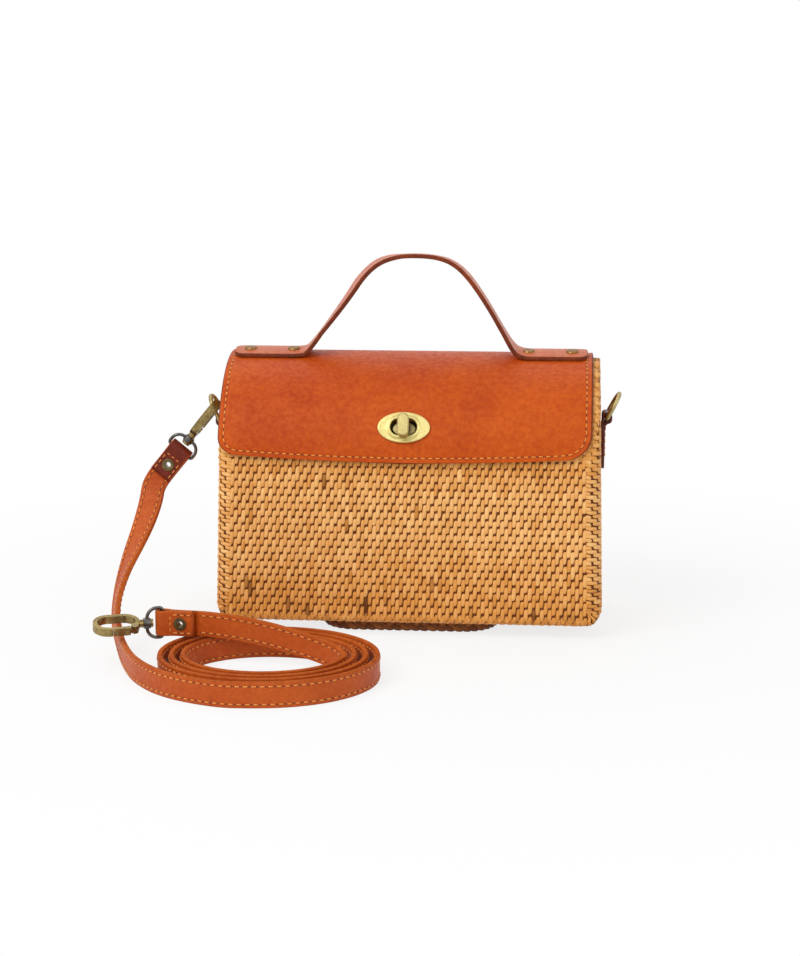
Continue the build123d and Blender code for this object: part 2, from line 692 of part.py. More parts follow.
upper_gate_pin, lower_gate_pin = clip_pin(upper_hook_plane), clip_pin(lower_hook_plane)
upper_loop, lower_loop = clip_loop(upper_loop_plane), clip_loop(lower_loop_plane)
upper_fold, lower_fold = strap_fold(upper_fold_plane), strap_fold(lower_fold_plane)
upper_eyelet, lower_eyelet = strap_eyelet(upper_fold_plane), strap_eyelet(lower_fold_plane)

# Strap: the hanging run, the coil on the floor and the loose end
coil_steps = round(coil_turns * coil_points_per_turn)
coil_points = []
for k in range(coil_steps + 1):
    turns = k / coil_points_per_turn
    angle = math.radians(360 * turns - 90)
    coil_points.append((coil_mid_x + (coil_half_length - coil_turn_in * turns) * math.cos(angle),
                        coil_mid_y + (coil_half_depth - coil_turn_in * turns) * math.sin(angle)))
with BuildPart() as strap_coil:
    with BuildSketch(Plane.XY):
        with BuildLine():
            coil_curve = Spline(*coil_points)
        trace(coil_curve, line_width=strap_thickness)
    extrude(amount=strap_width)
coil_start = Vector(*coil_points[0], strap_mid_z)
coil_end = Vector(*coil_points[-1], strap_mid_z)
before_coil = coil_start - coil_curve.tangent_at(0) * run_straight
after_coil = coil_end + coil_curve.tangent_at(1) * turn_straight
fold_end, fold_next = [upper_fold_plane.from_local_coords(Vector(-fold_length - more, 0, 0))
                       for more in (0, fold_straight)]
loose_end, loose_next = [lower_fold_plane.from_local_coords(Vector(-fold_length - more, 0, 0))
                         for more in (0, loose_straight)]
run_middle, end_middle = [[tuple(ring_side + Vector(*point)) for point in points]
                          for points in (run_points, end_points)]
run_route = [tuple(fold_end), tuple(fold_next), *run_middle, tuple(before_coil), tuple(coil_start)]
end_route = [tuple(coil_end), tuple(after_coil), *end_middle, tuple(loose_next), tuple(loose_end)]


def strap_ribbon(route, faces):
    """Flat strap along straight runs joined by even bends."""
    radii = bend_radii(route, strap_bend_share)
    with BuildPart() as ribbon:
        with BuildLine() as line:
            FilletPolyline(*route, radius=radii)
        for plane in ribbon_planes(line.wires()[0], faces, ribbon_stations):
            with BuildSketch(plane):
                Rectangle(strap_width, strap_thickness)
        loft(ruled=True)
    length = line.wires()[0].length
    print("route", [tuple(round(c, 2) for c in point) for point in route])
    print("bends", [round(r, 1) for r in radii], "length", round(length, 1),
          "volume share", round(ribbon.part.volume / (length * strap_width * strap_thickness), 3))
    return ribbon


coil_out_start = coil_curve.tangent_at(0).cross(Vector(0, 0, 1))
coil_out_end = coil_curve.tangent_at(1).cross(Vector(0, 0, 1))
upper_face, lower_face = upper_fold_plane.z_dir, lower_fold_plane.z_dir
strap_run = strap_ribbon(run_route, [tuple(upper_face), tuple(upper_face), *run_faces,
                                     tuple(coil_out_start), tuple(coil_out_start)])
strap_end = strap_ribbon(end_route, [tuple(coil_out_end), tuple(coil_out_end), *end_faces,
                                     tuple(lower_face), tuple(lower_face)])

os.makedirs("parts", exist_ok=True)
pieces = {
    "basket_body": basket_body, "foot_ring": foot_ring, "lid_flap": lid_flap, "hinge_strip": hinge_strip,
    "carry_handle": carry_handle, "handle_rivets": handle_rivets, "handle_rivet_backs": handle_rivet_backs,
    "lock_plate": lock_plate, "lock_backing": lock_backing, "lock_base": lock_base,
    "lock_washer": lock_washer, "turn_knob": turn_knob, "knob_retainer": knob_retainer,
    "left_tab": left_tab, "right_tab": right_tab,
    "left_ring": left_ring, "right_ring": right_ring, "upper_hook": upper_hook, "lower_hook": lower_hook,
    "upper_gate": upper_gate, "lower_gate": lower_gate, "upper_gate_pin": upper_gate_pin,
    "lower_gate_pin": lower_gate_pin, "upper_loop": upper_loop, "lower_loop": lower_loop,
    "upper_fold": upper_fold, "lower_fold": lower_fold, "upper_eyelet": upper_eyelet,
    "lower_eyelet": lower_eyelet, "strap_run": strap_run, "strap_coil": strap_coil, "strap_end": strap_end,
}
for label, piece in pieces.items():
    piece.part.label = label
    export_step(piece.part, f"parts/{label}.step")
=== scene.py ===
"""Looks of a woven box bag: leather flap, top handle, turn lock and a coiled shoulder strap."""

import logging
import math
from dataclasses import dataclass, field
from enum import Enum
from typing import Any, Callable, Sequence

import bmesh
import bpy
import numpy as np
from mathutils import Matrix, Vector

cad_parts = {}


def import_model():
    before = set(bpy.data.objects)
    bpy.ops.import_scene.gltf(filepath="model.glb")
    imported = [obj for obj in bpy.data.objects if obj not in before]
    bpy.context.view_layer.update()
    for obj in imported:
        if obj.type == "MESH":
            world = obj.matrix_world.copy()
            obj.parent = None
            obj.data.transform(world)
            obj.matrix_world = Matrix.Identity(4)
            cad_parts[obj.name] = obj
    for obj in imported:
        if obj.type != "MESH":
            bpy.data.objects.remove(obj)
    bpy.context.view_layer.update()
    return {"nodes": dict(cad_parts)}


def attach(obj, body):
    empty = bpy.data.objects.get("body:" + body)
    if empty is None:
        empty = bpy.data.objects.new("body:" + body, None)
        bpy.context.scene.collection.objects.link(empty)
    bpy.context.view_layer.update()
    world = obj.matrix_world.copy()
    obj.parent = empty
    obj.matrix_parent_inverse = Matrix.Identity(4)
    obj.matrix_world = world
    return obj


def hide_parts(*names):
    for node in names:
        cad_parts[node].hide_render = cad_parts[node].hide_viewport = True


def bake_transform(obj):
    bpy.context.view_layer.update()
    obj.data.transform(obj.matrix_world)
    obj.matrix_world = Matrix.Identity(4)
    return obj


LOG = logging.getLogger("basket_box_bag")
MM = 0.001
ARCH_Y = 17.0
ARCH_Z = 85.0
TOP_Z = 141.0
LID_X = -2.0
LID_WIDTH = 190.5
TAB_Y = 1.5
STRAP_WIDTH = 12.5
COURSE = 3.8
SPLINT_PITCH = 2.02
SPLINT_DIFFERENCES = 5
CUTTER_SIDES = 32
JOIN_GAP = 1e-7
PATCH_SHARE = 0.65
SPECK_SHARE = 0.35
Array = np.ndarray
Place = Callable[[Array, Array], Array]
Rule = Callable[[Array], Array]
Stitches = tuple[Array, Array, Array]


class Body(Enum):
    """Bodies of the frame that pieces ride on."""

    BASKET = "basket"
    LID = "lid"


class Side(Enum):
    """Left and right of the bag, seen from the front."""

    LEFT = -1
    RIGHT = 1


class Slot(Enum):
    """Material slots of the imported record."""

    RATTAN = "rattan"
    DARK_RATTAN = "dark_rattan"
    COGNAC = "cognac_leather"
    BROWN = "brown_leather"
    BRASS = "pale_brass"


def linear(colour: Sequence[int]) -> tuple[float, float, float, float]:
    """Turn a colour of 0 to 255 as seen on a screen into the linear one that shaders take.

    Args:
        colour: red, green and blue from 0 to 255.

    Returns:
        Linear red, green, blue and an alpha of one.
    """
    shares = [c / 255 for c in colour]
    red, green, blue = [s / 12.92 if s <= 0.04045 else ((s + 0.055) / 1.055) ** 2.4 for s in shares]
    return red, green, blue, 1.0


def unit(vectors: Array) -> Array:
    """Scale vectors, along the last axis, to a length of one."""
    return vectors / np.maximum(np.linalg.norm(vectors, axis=-1, keepdims=True), 1e-12)


def run_length(line: Array) -> Array:
    """Distance from the start of a line to each of its points."""
    return np.concatenate([[0.0], np.cumsum(np.linalg.norm(np.diff(line, axis=0), axis=1))])


def along(line: Array, at: Array) -> Array:
    """Read a line of points at given distances from its start.

    Args:
        line: points, one row each.
        at: distances from the start.

    Returns:
        One row for each distance.
    """
    run = run_length(line)
    return np.stack([np.interp(at, run, line[:, k]) for k in range(line.shape[1])], axis=-1)


def nurbs_line(control: Array, per_run: int) -> Array:
    """Read points from a smooth open spline that its control points lead.

    Args:
        control: control points in millimetres.
        per_run: points read for each control point.

    Returns:
        Points along the spline, in millimetres.
    """
    curve = bpy.data.curves.new("route", "CURVE")
    curve.dimensions = "3D"
    curve.resolution_u = per_run
    spline = curve.splines.new("NURBS")
    spline.points.add(len(control) - 1)
    for point, place in zip(spline.points, control):
        point.co = (*place, 1.0)
    spline.order_u = 3
    spline.use_endpoint_u = True
    holder = bpy.data.objects.new("route", curve)
    mesh = bpy.data.meshes.new_from_object(holder)
    points = np.array([v.co for v in mesh.vertices], float)
    bpy.data.meshes.remove(mesh)
    bpy.data.objects.remove(holder)
    bpy.data.curves.remove(curve)
    return points


def spline_places(count: int, samples: int) -> tuple[Array, Array]:
    """Where an order three spline's control points and its read points stand along it.

    Args:
        count: number of control points.
        samples: number of points read from the spline.

    Returns:
        The control points' places and the read points' places, on one scale.
    """
    knots = np.clip(np.arange(count) - 0.5, 0, count - 2)
    return knots, np.linspace(0, count - 2, samples)


class NodeTable:
    """Short way to add shader nodes to a tree."""

    def __init__(self, tree: bpy.types.NodeTree) -> None:
        """Keep the tree and empty it."""
        self.tree = tree
        tree.nodes.clear()

    def add(self, kind: str, settings: dict[str, Any] | None = None, **inputs: Any) -> bpy.types.Node:
        """Add one node.

        Args:
            kind: the node's type without its ShaderNode prefix.
            settings: properties of the node.
            inputs: input names, with _ for a blank, and a value or a socket to link.

        Returns:
            The node.
        """
        node = self.tree.nodes.new(kind if kind.startswith("Node") else f"ShaderNode{kind}")
        for name, value in (settings or {}).items():
            setattr(node, name, value)
        for name, value in inputs.items():
            key = int(name[1:]) if name[1:].isdigit() else name.replace("_", " ")
            self.feed(node.inputs[key], value)
        return node

    def feed(self, socket: bpy.types.NodeSocket, value: Any) -> None:
        """Set an input's value, or link it where the value is a socket.

        Args:
            socket: the input.
            value: what it takes.
        """
        if isinstance(value, bpy.types.NodeSocket):
            self.tree.links.new(value, socket)
        else:
            socket.default_value = value

    def surface(self, shader: bpy.types.Node) -> None:
        """Link a shader to the material's output."""
        output = self.add("OutputMaterial")
        self.tree.links.new(shader.outputs[0], output.inputs["Surface"])


class Effect:
    """Shader groups that several finishes share, each built once."""

    @staticmethod
    def group(name: str, inputs: dict[str, float], outputs: dict[str, str]) -> tuple[Any, bool]:
        """Find a group, or start it.

        Args:
            name: the group's name.
            inputs: its number inputs and their defaults.
            outputs: its outputs and their socket types.

        Returns:
            The group and whether it is new.
        """
        found = bpy.data.node_groups.get(name)
        if found:
            return found, False
        made = bpy.data.node_groups.new(name, "ShaderNodeTree")
        for label, default in inputs.items():
            socket = made.interface.new_socket(label, in_out="INPUT", socket_type="NodeSocketFloat")
            socket.default_value = default
        for label, kind in outputs.items():
            made.interface.new_socket(label, in_out="OUTPUT", socket_type=kind)
        return made, True

    @staticmethod
    def grain() -> bpy.types.NodeTree:
        """Leather grain: small cells with fine pores between them.

        Returns:
            A group with Scale, and outputs Height and Pores.
        """
        group, new = Effect.group("leather_grain", {"Scale": 1100.0},
                                  {"Height": "NodeSocketFloat", "Pores": "NodeSocketFloat"})
        if new:
            table = NodeTable(group)
            given = table.add("NodeGroupInput")
            place = table.add("TexCoord").outputs["Object"]
            warp = table.add("TexNoise", Vector=place, Scale=260.0, Detail=2.0)
            pushed = table.add("VectorMath", {"operation": "MULTIPLY_ADD"}, _0=warp.outputs["Color"],
                               _1=(0.0009, 0.0009, 0.0009), _2=place)
            cells = table.add("TexVoronoi", {"feature": "DISTANCE_TO_EDGE"}, Vector=pushed.outputs[0],
                              Scale=given.outputs["Scale"])
            edge = table.add("MapRange", Value=cells.outputs["Distance"], From_Max=0.16)
            fine = table.add("TexNoise", Vector=place, Scale=2600.0, Detail=3.0)
            height = table.add("Math", {"operation": "MULTIPLY_ADD"}, _0=fine.outputs["Fac"], _1=0.45,
                               _2=edge.outputs["Result"])
            pores = table.add("Math", {"operation": "SUBTRACT"}, _0=1.0, _1=edge.outputs["Result"])
            out = table.add("NodeGroupOutput")
            table.feed(out.inputs["Height"], height.outputs[0])
            table.feed(out.inputs["Pores"], pores.outputs[0])
        return group

    @staticmethod
    def mottle() -> bpy.types.NodeTree:
        """Soft patches of lighter and darker tone.

        Returns:
            A group with Scale and Detail Scale, and outputs Patch and Speck.
        """
        group, new = Effect.group("mottle", {"Scale": 28.0, "Detail Scale": 420.0},
                                  {"Patch": "NodeSocketFloat", "Speck": "NodeSocketFloat"})
        if new:
            table = NodeTable(group)
            given = table.add("NodeGroupInput")
            place = table.add("TexCoord").outputs["Object"]
            broad = table.add("TexNoise", Vector=place, Scale=given.outputs["Scale"], Detail=4.0,
                              Roughness=0.62)
            small = table.add("TexNoise", Vector=place, Scale=given.outputs["Detail Scale"], Detail=2.0)
            patch = table.add("MapRange", Value=broad.outputs["Fac"], From_Min=0.3, From_Max=0.7)
            speck = table.add("MapRange", Value=small.outputs["Fac"], From_Min=0.35, From_Max=0.65)
            out = table.add("NodeGroupOutput")
            table.feed(out.inputs["Patch"], patch.outputs["Result"])
            table.feed(out.inputs["Speck"], speck.outputs["Result"])
        return group


@dataclass(frozen=True)
class Finish:
    """A surface finish, made into one material on first use."""

    name: str
    colour: tuple[int, int, int]
    shade: tuple[int, int, int]
    roughness: float

    def material(self) -> bpy.types.Material:
        """Find or make the material.

        Returns:
            The material.
        """
        found = bpy.data.materials.get(f"finish_{self.name}")
        if found:
            return found
        made = bpy.data.materials.new(f"finish_{self.name}")
        made.use_nodes = True
        self.paint(NodeTable(made.node_tree))
        return made

    def mottled(self, table: NodeTable, scale: float, fine: float) -> tuple[Any, Any]:
        """Mix the two colours by soft patches.

        Args:
            table: the material's nodes.
            scale: patches to a metre.
            fine: specks to a metre.

        Returns:
            The colour socket and the speck socket.
        """
        group = table.add("Group", {"node_tree": Effect.mottle()}, Scale=scale, Detail_Scale=fine)
        specks = table.add("Math", {"operation": "MULTIPLY"}, _0=group.outputs["Speck"], _1=SPECK_SHARE)
        both = table.add("Math", {"operation": "MULTIPLY_ADD", "use_clamp": True}, _0=group.outputs["Patch"],
                         _1=PATCH_SHARE, _2=specks.outputs[0])
        mix = table.add("Mix", {"data_type": "RGBA"}, _0=both.outputs[0], _6=linear(self.colour),
                        _7=linear(self.shade))
        return mix.outputs[2], group.outputs["Speck"]

    def paint(self, table: NodeTable) -> None:
        """Fill the material's nodes."""
        colour, _ = self.mottled(table, scale=30.0, fine=500.0)
        table.surface(table.add("BsdfPrincipled", Base_Color=colour, Roughness=self.roughness))


@dataclass(frozen=True)
class LeatherFinish(Finish):
    """Vegetable leather with grain, patches and a soft polish."""

    grain: float = 1100.0
    depth: float = 0.25
    coat: float = 0.0
    shine: float = 0.12
    pore_share: float = 0.3
    pore_colour: tuple[float, float, float, float] = (0.45, 0.36, 0.3, 1.0)

    def paint(self, table: NodeTable) -> None:
        """Fill the material's nodes.

        Args:
            table: the material's nodes.
        """
        colour, speck = self.mottled(table, scale=26.0, fine=420.0)
        grain = table.add("Group", {"node_tree": Effect.grain()}, Scale=self.grain)
        pores = table.add("Math", {"operation": "MULTIPLY"}, _0=grain.outputs["Pores"],
                          _1=self.pore_share)
        worn = table.add("Mix", {"data_type": "RGBA", "blend_type": "MULTIPLY"}, _0=pores.outputs[0],
                         _6=colour, _7=self.pore_colour)
        bump = table.add("Bump", Strength=self.depth, Distance=0.0003, Height=grain.outputs["Height"])
        rough = table.add("MapRange", Value=speck, To_Min=self.roughness - 0.06, To_Max=self.roughness + 0.08)
        table.surface(table.add("BsdfPrincipled", Base_Color=worn.outputs[2], Normal=bump.outputs[0],
                                Roughness=rough.outputs["Result"], Specular_IOR_Level=self.shine,
                                Coat_Weight=self.coat, Coat_Roughness=0.35))


@dataclass(frozen=True)
class RattanFinish(Finish):
    """Split rattan, its tone, painted shade included, read from the weave and streaked along its fibres."""

    gap_shade: tuple[int, int, int] = (70, 34, 10)
    streak_share: float = 0.22
    speck_share: float = 0.1

    def paint(self, table: NodeTable) -> None:
        """Fill the material's nodes.

        Args:
            table: the material's nodes.
        """
        tone = table.add("Attribute", {"attribute_name": "tone"}).outputs["Fac"]
        place = table.add("TexCoord").outputs["Object"]
        streak = table.add("TexNoise", Vector=place, Scale=1500.0, Detail=3.0)
        patch = table.add("Group", {"node_tree": Effect.mottle()}, Scale=16.0, Detail_Scale=240.0)
        lift = table.add("Math", {"operation": "MULTIPLY_ADD"}, _0=streak.outputs["Fac"],
                         _1=self.streak_share, _2=-self.streak_share / 2)
        moved = table.add("Math", {"operation": "ADD"}, _0=tone, _1=lift.outputs[0])
        worn = table.add("Math", {"operation": "MULTIPLY_ADD", "use_clamp": True}, _0=patch.outputs["Speck"],
                         _1=-self.speck_share, _2=moved.outputs[0])
        ramp = table.add("ValToRGB", _0=worn.outputs[0])
        bands = ramp.color_ramp.elements
        # The darkest tones take the gap colour: painted shade at splint ends and edges and in the foot's
        # core.
        bands[0].position, bands[0].color = 0.0, linear(self.gap_shade)
        bands[1].position, bands[1].color = 1.0, linear(self.colour)
        middle = bands.new(0.5)
        middle.color = linear(self.shade)
        bump = table.add("Bump", Strength=0.25, Distance=0.0002, Height=streak.outputs["Fac"])
        table.surface(table.add("BsdfPrincipled", Base_Color=ramp.outputs["Color"], Roughness=self.roughness,
                                Specular_IOR_Level=0.2, Normal=bump.outputs[0]))


@dataclass(frozen=True)
class CoreFinish(Finish):
    """Coils under the splints: painted shade in the gaps outside, bound in courses where they are seen from
    inside.
    """

    gap_shade: tuple[int, int, int] = (96, 48, 10)
    middle: tuple[float, float, float] = (0.0, 0.0005, 0.07)
    rim_from: float = 0.0925
    level_from: float = 0.8
    upright_from: float = 0.7
    scale: float = 200.0
    binding_length: float = 2 * COURSE * MM
    binding_width: float = SPLINT_PITCH * MM

    def paint(self, table: NodeTable) -> None:
        """Fill the material's nodes.

        Args:
            table: the material's nodes.
        """
        # Bindings stand upright on the walls and run from front to back on the base.
        shape = table.add("NewGeometry")
        place = table.add("TexCoord").outputs["Object"]
        axes = table.add("SeparateXYZ", Vector=place).outputs
        across = table.add("Math", {"operation": "ADD"}, _0=axes["X"], _1=axes["Y"])
        wall = table.add("CombineXYZ", X=axes["Z"], Y=across.outputs[0])
        base = table.add("CombineXYZ", X=axes["Y"], Y=axes["X"])
        turned = table.add("SeparateXYZ", Vector=shape.outputs["Normal"]).outputs
        level = table.add("Math", {"operation": "GREATER_THAN"}, _0=turned["Z"], _1=self.level_from)
        laid = table.add("Mix", {"data_type": "VECTOR"}, _0=level.outputs[0], _4=wall.outputs[0],
                         _5=base.outputs[0])
        # Joints between bindings take the gap colour as painted shade.
        binding = table.add("TexBrick", {"offset": 0.5, "offset_frequency": 2}, Vector=laid.outputs[1],
                            Color1=linear(self.colour), Color2=linear(self.shade), Mortar=linear(self.gap_shade),
                            Scale=self.scale, Mortar_Size=0.05, Mortar_Smooth=0.9,
                            Brick_Width=self.scale * self.binding_length,
                            Row_Height=self.scale * self.binding_width)
        # Faces turned to the middle of the basket are its inside, and its upper rim looks like them.
        outward = table.add("VectorMath", {"operation": "SUBTRACT"}, _0=place, _1=self.middle)
        facing = table.add("VectorMath", {"operation": "DOT_PRODUCT"}, _0=outward.outputs[0],
                           _1=shape.outputs["Normal"])
        inside = table.add("Math", {"operation": "LESS_THAN"}, _0=facing.outputs["Value"], _1=0.0)
        upper = table.add("Math", {"operation": "GREATER_THAN"}, _0=axes["Z"], _1=self.rim_from)
        sideways = table.add("Math", {"operation": "ABSOLUTE"}, _0=turned["X"])
        flatter = table.add("Math", {"operation": "LESS_THAN"}, _0=sideways.outputs[0],
                            _1=self.upright_from)
        rim = table.add("Math", {"operation": "MULTIPLY"}, _0=upper.outputs[0], _1=flatter.outputs[0])
        inside = table.add("Math", {"operation": "MAXIMUM"}, _0=inside.outputs[0], _1=rim.outputs[0])
        # Outside, the core shows the gap colour: painted shade between the splints.
        colour = table.add("Mix", {"data_type": "RGBA"}, _0=inside.outputs[0], _6=linear(self.gap_shade),
                           _7=binding.outputs["Color"])
        dip = table.add("Math", {"operation": "MULTIPLY"}, _0=inside.outputs[0], _1=binding.outputs["Fac"])
        bump = table.add("Bump", {"invert": True}, Strength=0.9, Distance=0.0006, Height=dip.outputs[0])
        table.surface(table.add("BsdfPrincipled", Base_Color=colour.outputs[2], Roughness=self.roughness,
                                Specular_IOR_Level=0.2, Normal=bump.outputs[0]))


@dataclass(frozen=True)
class MetalFinish(Finish):
    """Plated metal, rubbed bright in places and darkened in others."""

    metallic: float = 1.0
    fine: float = 900.0

    def paint(self, table: NodeTable) -> None:
        """Fill the material's nodes.

        Args:
            table: the material's nodes.
        """
        colour, speck = self.mottled(table, scale=130.0, fine=self.fine)
        rough = table.add("MapRange", Value=speck, To_Min=self.roughness - 0.05, To_Max=self.roughness + 0.1)
        bump = table.add("Bump", Strength=0.06, Distance=0.0001, Height=speck)
        table.surface(table.add("BsdfPrincipled", Base_Color=colour, Metallic=self.metallic,
                                Roughness=rough.outputs["Result"], Normal=bump.outputs[0]))


COGNAC = LeatherFinish("flap_leather", (212, 94, 12), (178, 60, 4), 0.4, shine=0.16)
STRAP_LEATHER = LeatherFinish("strap_leather", (204, 96, 28), (178, 70, 14), 0.42, depth=0.3, shine=0.22)
# Upper strap end: the strap's leather painted dark as shade.
STRAP_END_PAINTED_SHADE = LeatherFinish("strap_leather_painted_shade", (132, 42, 12), (98, 28, 8), 0.42, depth=0.3, shine=0.25)
HANDLE_LEATHER = LeatherFinish("handle_leather", (208, 102, 32), (182, 74, 14), 0.38, coat=0.1, shine=0.34)
SUEDE = LeatherFinish("flesh_side", (150, 84, 48), (122, 64, 34), 0.75, grain=2400.0, depth=0.4)
# Cut edges of the flap and the handle, darker than the leather's face.
EDGE = LeatherFinish("dark_cut_edge", (146, 62, 20), (84, 30, 10), 0.5, grain=2600.0, depth=0.4, shine=0.2)
RAW_EDGE = LeatherFinish("raw_edge", (206, 104, 38), (162, 70, 20), 0.6, grain=2600.0, depth=0.35)
# Side tabs: the leather painted dark brown as shade on the basket's sides.
BROWN = LeatherFinish("tab_leather", (112, 40, 18), (76, 26, 12), 0.4, shine=0.4)
THREAD = Finish("waxed_thread", (244, 160, 66), (224, 130, 44), 0.6)
PALE_THREAD = Finish("pale_thread", (236, 152, 70), (214, 122, 46), 0.6)
HOLE_PAINTED_SHADE = Finish("stitch_hole_painted_shade", (74, 24, 8), (60, 20, 7), 0.8)
RATTAN = RattanFinish("split_rattan", (250, 198, 128), (222, 150, 70), 0.5, gap_shade=(104, 54, 14))
RATTAN_CORE = CoreFinish("rattan_core", (222, 158, 90), (186, 118, 54), 0.6)
# Foot ring: rattan painted darker than the walls as the shade under the basket.
DARK_RATTAN = RattanFinish("foot_rattan_painted_shade", (176, 112, 58), (118, 68, 32), 0.45, gap_shade=(46, 22, 9))
PALE_BRASS = MetalFinish("plate_brass", (226, 212, 146), (190, 172, 104), 0.3)
KNOB_BRASS = MetalFinish("knob_brass", (206, 190, 128), (150, 134, 84), 0.36, fine=1500.0)
BRUSHED_BRASS = MetalFinish("rubbed_brass", (196, 180, 128), (140, 122, 76), 0.34)
AGED_BRASS = MetalFinish("aged_brass", (178, 156, 102), (96, 80, 46), 0.32)
DARK_BRASS = MetalFinish("dark_brass", (128, 112, 72), (72, 60, 38), 0.38)
RIVET_BRASS = MetalFinish("rivet_brass", (164, 122, 74), (112, 82, 46), 0.42)
LOCK_SHADE = MetalFinish("lock_shade", (34, 26, 18), (20, 15, 10), 0.6, metallic=0.4)
GUNMETAL = MetalFinish("gunmetal", (120, 116, 110), (62, 60, 58), 0.3)


class MeshMaker:
    """Gathers sheets and tubes of points, in millimetres, into one mesh."""

    def __init__(self, name: str) -> None:
        """Start an empty mesh.

        Args:
            name: the piece's name.
        """
        self.name = name
        self.points: list[Array] = []
        self.tones: list[Array] = []
        self.faces: list[list[int]] = []
        self.slots: list[int] = []
        self.total = 0

    def sheets(self, points: Array, closed: bool = False, slots: Any = 0, tone: Any = 0.5,
               capped: bool = False) -> None:
        """Add sheets, or tubes where closed, one for each first index.

        Args:
            points: sheets by rows by columns by three.
            closed: joins the last column to the first.
            slots: finish number of each column, or one for all.
            tone: tone of each point, or one for all.
            capped: closes a tube's two ends.
        """
        count, rows, columns = points.shape[:3]
        index = self.total + np.arange(count * rows * columns).reshape(count, rows, columns)
        left, right = (index, np.roll(index, -1, axis=2)) if closed else (index[:, :, :-1], index[:, :, 1:])
        quads = np.stack([left[:, :-1], right[:, :-1], right[:, 1:], left[:, 1:]], axis=-1)
        self.faces += quads.reshape(-1, 4).tolist()
        self.slots += np.broadcast_to(slots, quads.shape[:3]).reshape(-1).tolist()
        if capped:
            ends = index[:, 0, ::-1].tolist() + index[:, -1].tolist()
            self.faces += ends
            self.slots += [int(np.min(slots)) if np.ndim(slots) == 0 else int(np.max(slots))] * len(ends)
        self.points.append(points.reshape(-1, 3))
        self.tones.append(np.broadcast_to(tone, points.shape[:3]).reshape(-1))
        self.total += count * rows * columns

    def strip(self, loops: Sequence[Array], slot: int) -> None:
        """Add closed loops of equal counts, joined in order.

        Args:
            loops: loops of points.
            slot: finish number.
        """
        self.sheets(np.stack(loops)[None], closed=True, slots=slot)

    def build(self, finishes: Sequence[Finish], weighted: bool = False) -> bpy.types.Object:
        """Make the object.

        Args:
            finishes: finishes in the order of the slot numbers.
            weighted: keeps broad faces flat in the shading.

        Returns:
            The new object, in the scene.
        """
        mesh = bpy.data.meshes.new(self.name)
        mesh.from_pydata((np.concatenate(self.points) * MM).tolist(), [], self.faces)
        for finish in finishes:
            mesh.materials.append(finish.material())
        mesh.polygons.foreach_set("material_index", np.array(self.slots, np.int32))
        mesh.polygons.foreach_set("use_smooth", np.ones(len(self.slots), bool))
        tones = mesh.attributes.new("tone", "FLOAT", "POINT")
        tones.data.foreach_set("value", np.concatenate(self.tones).astype(np.float32))
        mesh.update()
        made = bpy.data.objects.new(self.name, mesh)
        bpy.context.scene.collection.objects.link(made)
        if weighted:
            made.modifiers.new("flat_faces", "WEIGHTED_NORMAL").keep_sharp = True
        return made


def seat(piece: bpy.types.Object, body: Body, slot: Slot, *nodes: str) -> bpy.types.Object:
    """Set a finished piece on its body.

    Args:
        piece: the piece.
        body: the body that it moves with.
        slot: not used.
        nodes: frame nodes that it stands for.

    Returns:
        The piece.
    """
    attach(piece, body.value)
    if nodes:
        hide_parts(*nodes)
    LOG.info("%s rides on %s, %d faces", piece.name, body.value, len(piece.data.polygons))
    return piece


@dataclass
class Ribbon:
    """A flat strip of leather along a line, in millimetres."""

    line: Array
    face: Array
    width: float
    thickness: float
    edge_radius: float = 0.55
    cuts: int = 1
    start_round: float = 0.0
    end_round: float = 0.0
    across: Array = field(init=False)

    def __post_init__(self) -> None:
        """Work out the strip's own axes at each point."""
        tangent = unit(np.gradient(self.line, axis=0))
        self.across = unit(np.cross(tangent, self.face))
        self.face = np.cross(self.across, tangent)

    def section(self) -> tuple[Array, Array]:
        """Outline of the strip's section.

        Returns:
            For each corner its place through the leather, its place across, which narrows at a rounded end,
            and the part across that doesn't; and the finish number of each side, one for a cut edge.
        """
        corners = []
        sides: list[int] = []
        half_f, half_w, r = self.thickness / 2, self.width / 2, self.edge_radius
        for quarter, (sf, sw) in enumerate(((1, 1), (-1, 1), (-1, -1), (1, -1))):
            for step in range(3):
                turn = math.radians(90 * quarter + 45 * step)
                corners.append((sf * (half_f - r) + r * math.cos(turn), sw * half_w,
                                r * math.sin(turn) - sw * r))
            sides += [1, 1]
            if quarter % 2 == 0:
                sides.append(1)
                continue
            sides += [0] * (self.cuts + 1)
            for cut in range(1, self.cuts + 1):
                share = 1 - 2 * cut / (self.cuts + 1)
                corners.append((sf * half_f, sw * half_w * share, -sw * r * share))
        return np.array(corners), np.array(sides)

    def points(self) -> Array:
        """Place all the strip's points.

        Returns:
            Points, rows along the strip and columns round it.
        """
        outline, _ = self.section()
        run = run_length(self.line)
        shrink = np.zeros(len(run))
        for radius, distance in ((self.start_round, run), (self.end_round, run[-1] - run)):
            if radius:
                inside = np.clip(radius - distance, 0, radius)
                shrink = np.maximum(shrink, radius - np.sqrt(radius**2 - inside**2))
        half = self.width / 2
        scale = (half - shrink) / half
        wide = outline[None, :, 1] * scale[:, None] + outline[None, :, 2]
        return (self.line[:, None] + self.face[:, None] * outline[None, :, 0, None]
                + self.across[:, None] * wide[..., None])

    def seam(self, inset: float, side: int, facing: int, pitch: float, stitch: float,
             clear: tuple[float, float] = (0.0, 0.0)) -> Stitches:
        """Ends of the stitches along one edge.

        Args:
            inset: distance of the seam from the edge.
            side: which edge, minus one or one.
            facing: which face, minus one or one.
            pitch: distance from stitch to stitch.
            stitch: length of a stitch.
            clear: lengths left bare at the start and the end.

        Returns:
            Starts, ends and the surface's direction at each stitch.
        """
        surface = (self.line + self.face * facing * self.thickness / 2
                   + self.across * side * (self.width / 2 - inset))
        run = run_length(surface)
        first = np.arange(clear[0], run[-1] - clear[1] - stitch, pitch)
        start, end = along(surface, first), along(surface, first + stitch)
        out = np.stack([np.interp(first, run, self.face[:, k] * facing) for k in range(3)], axis=-1)
        return start, end, unit(out)


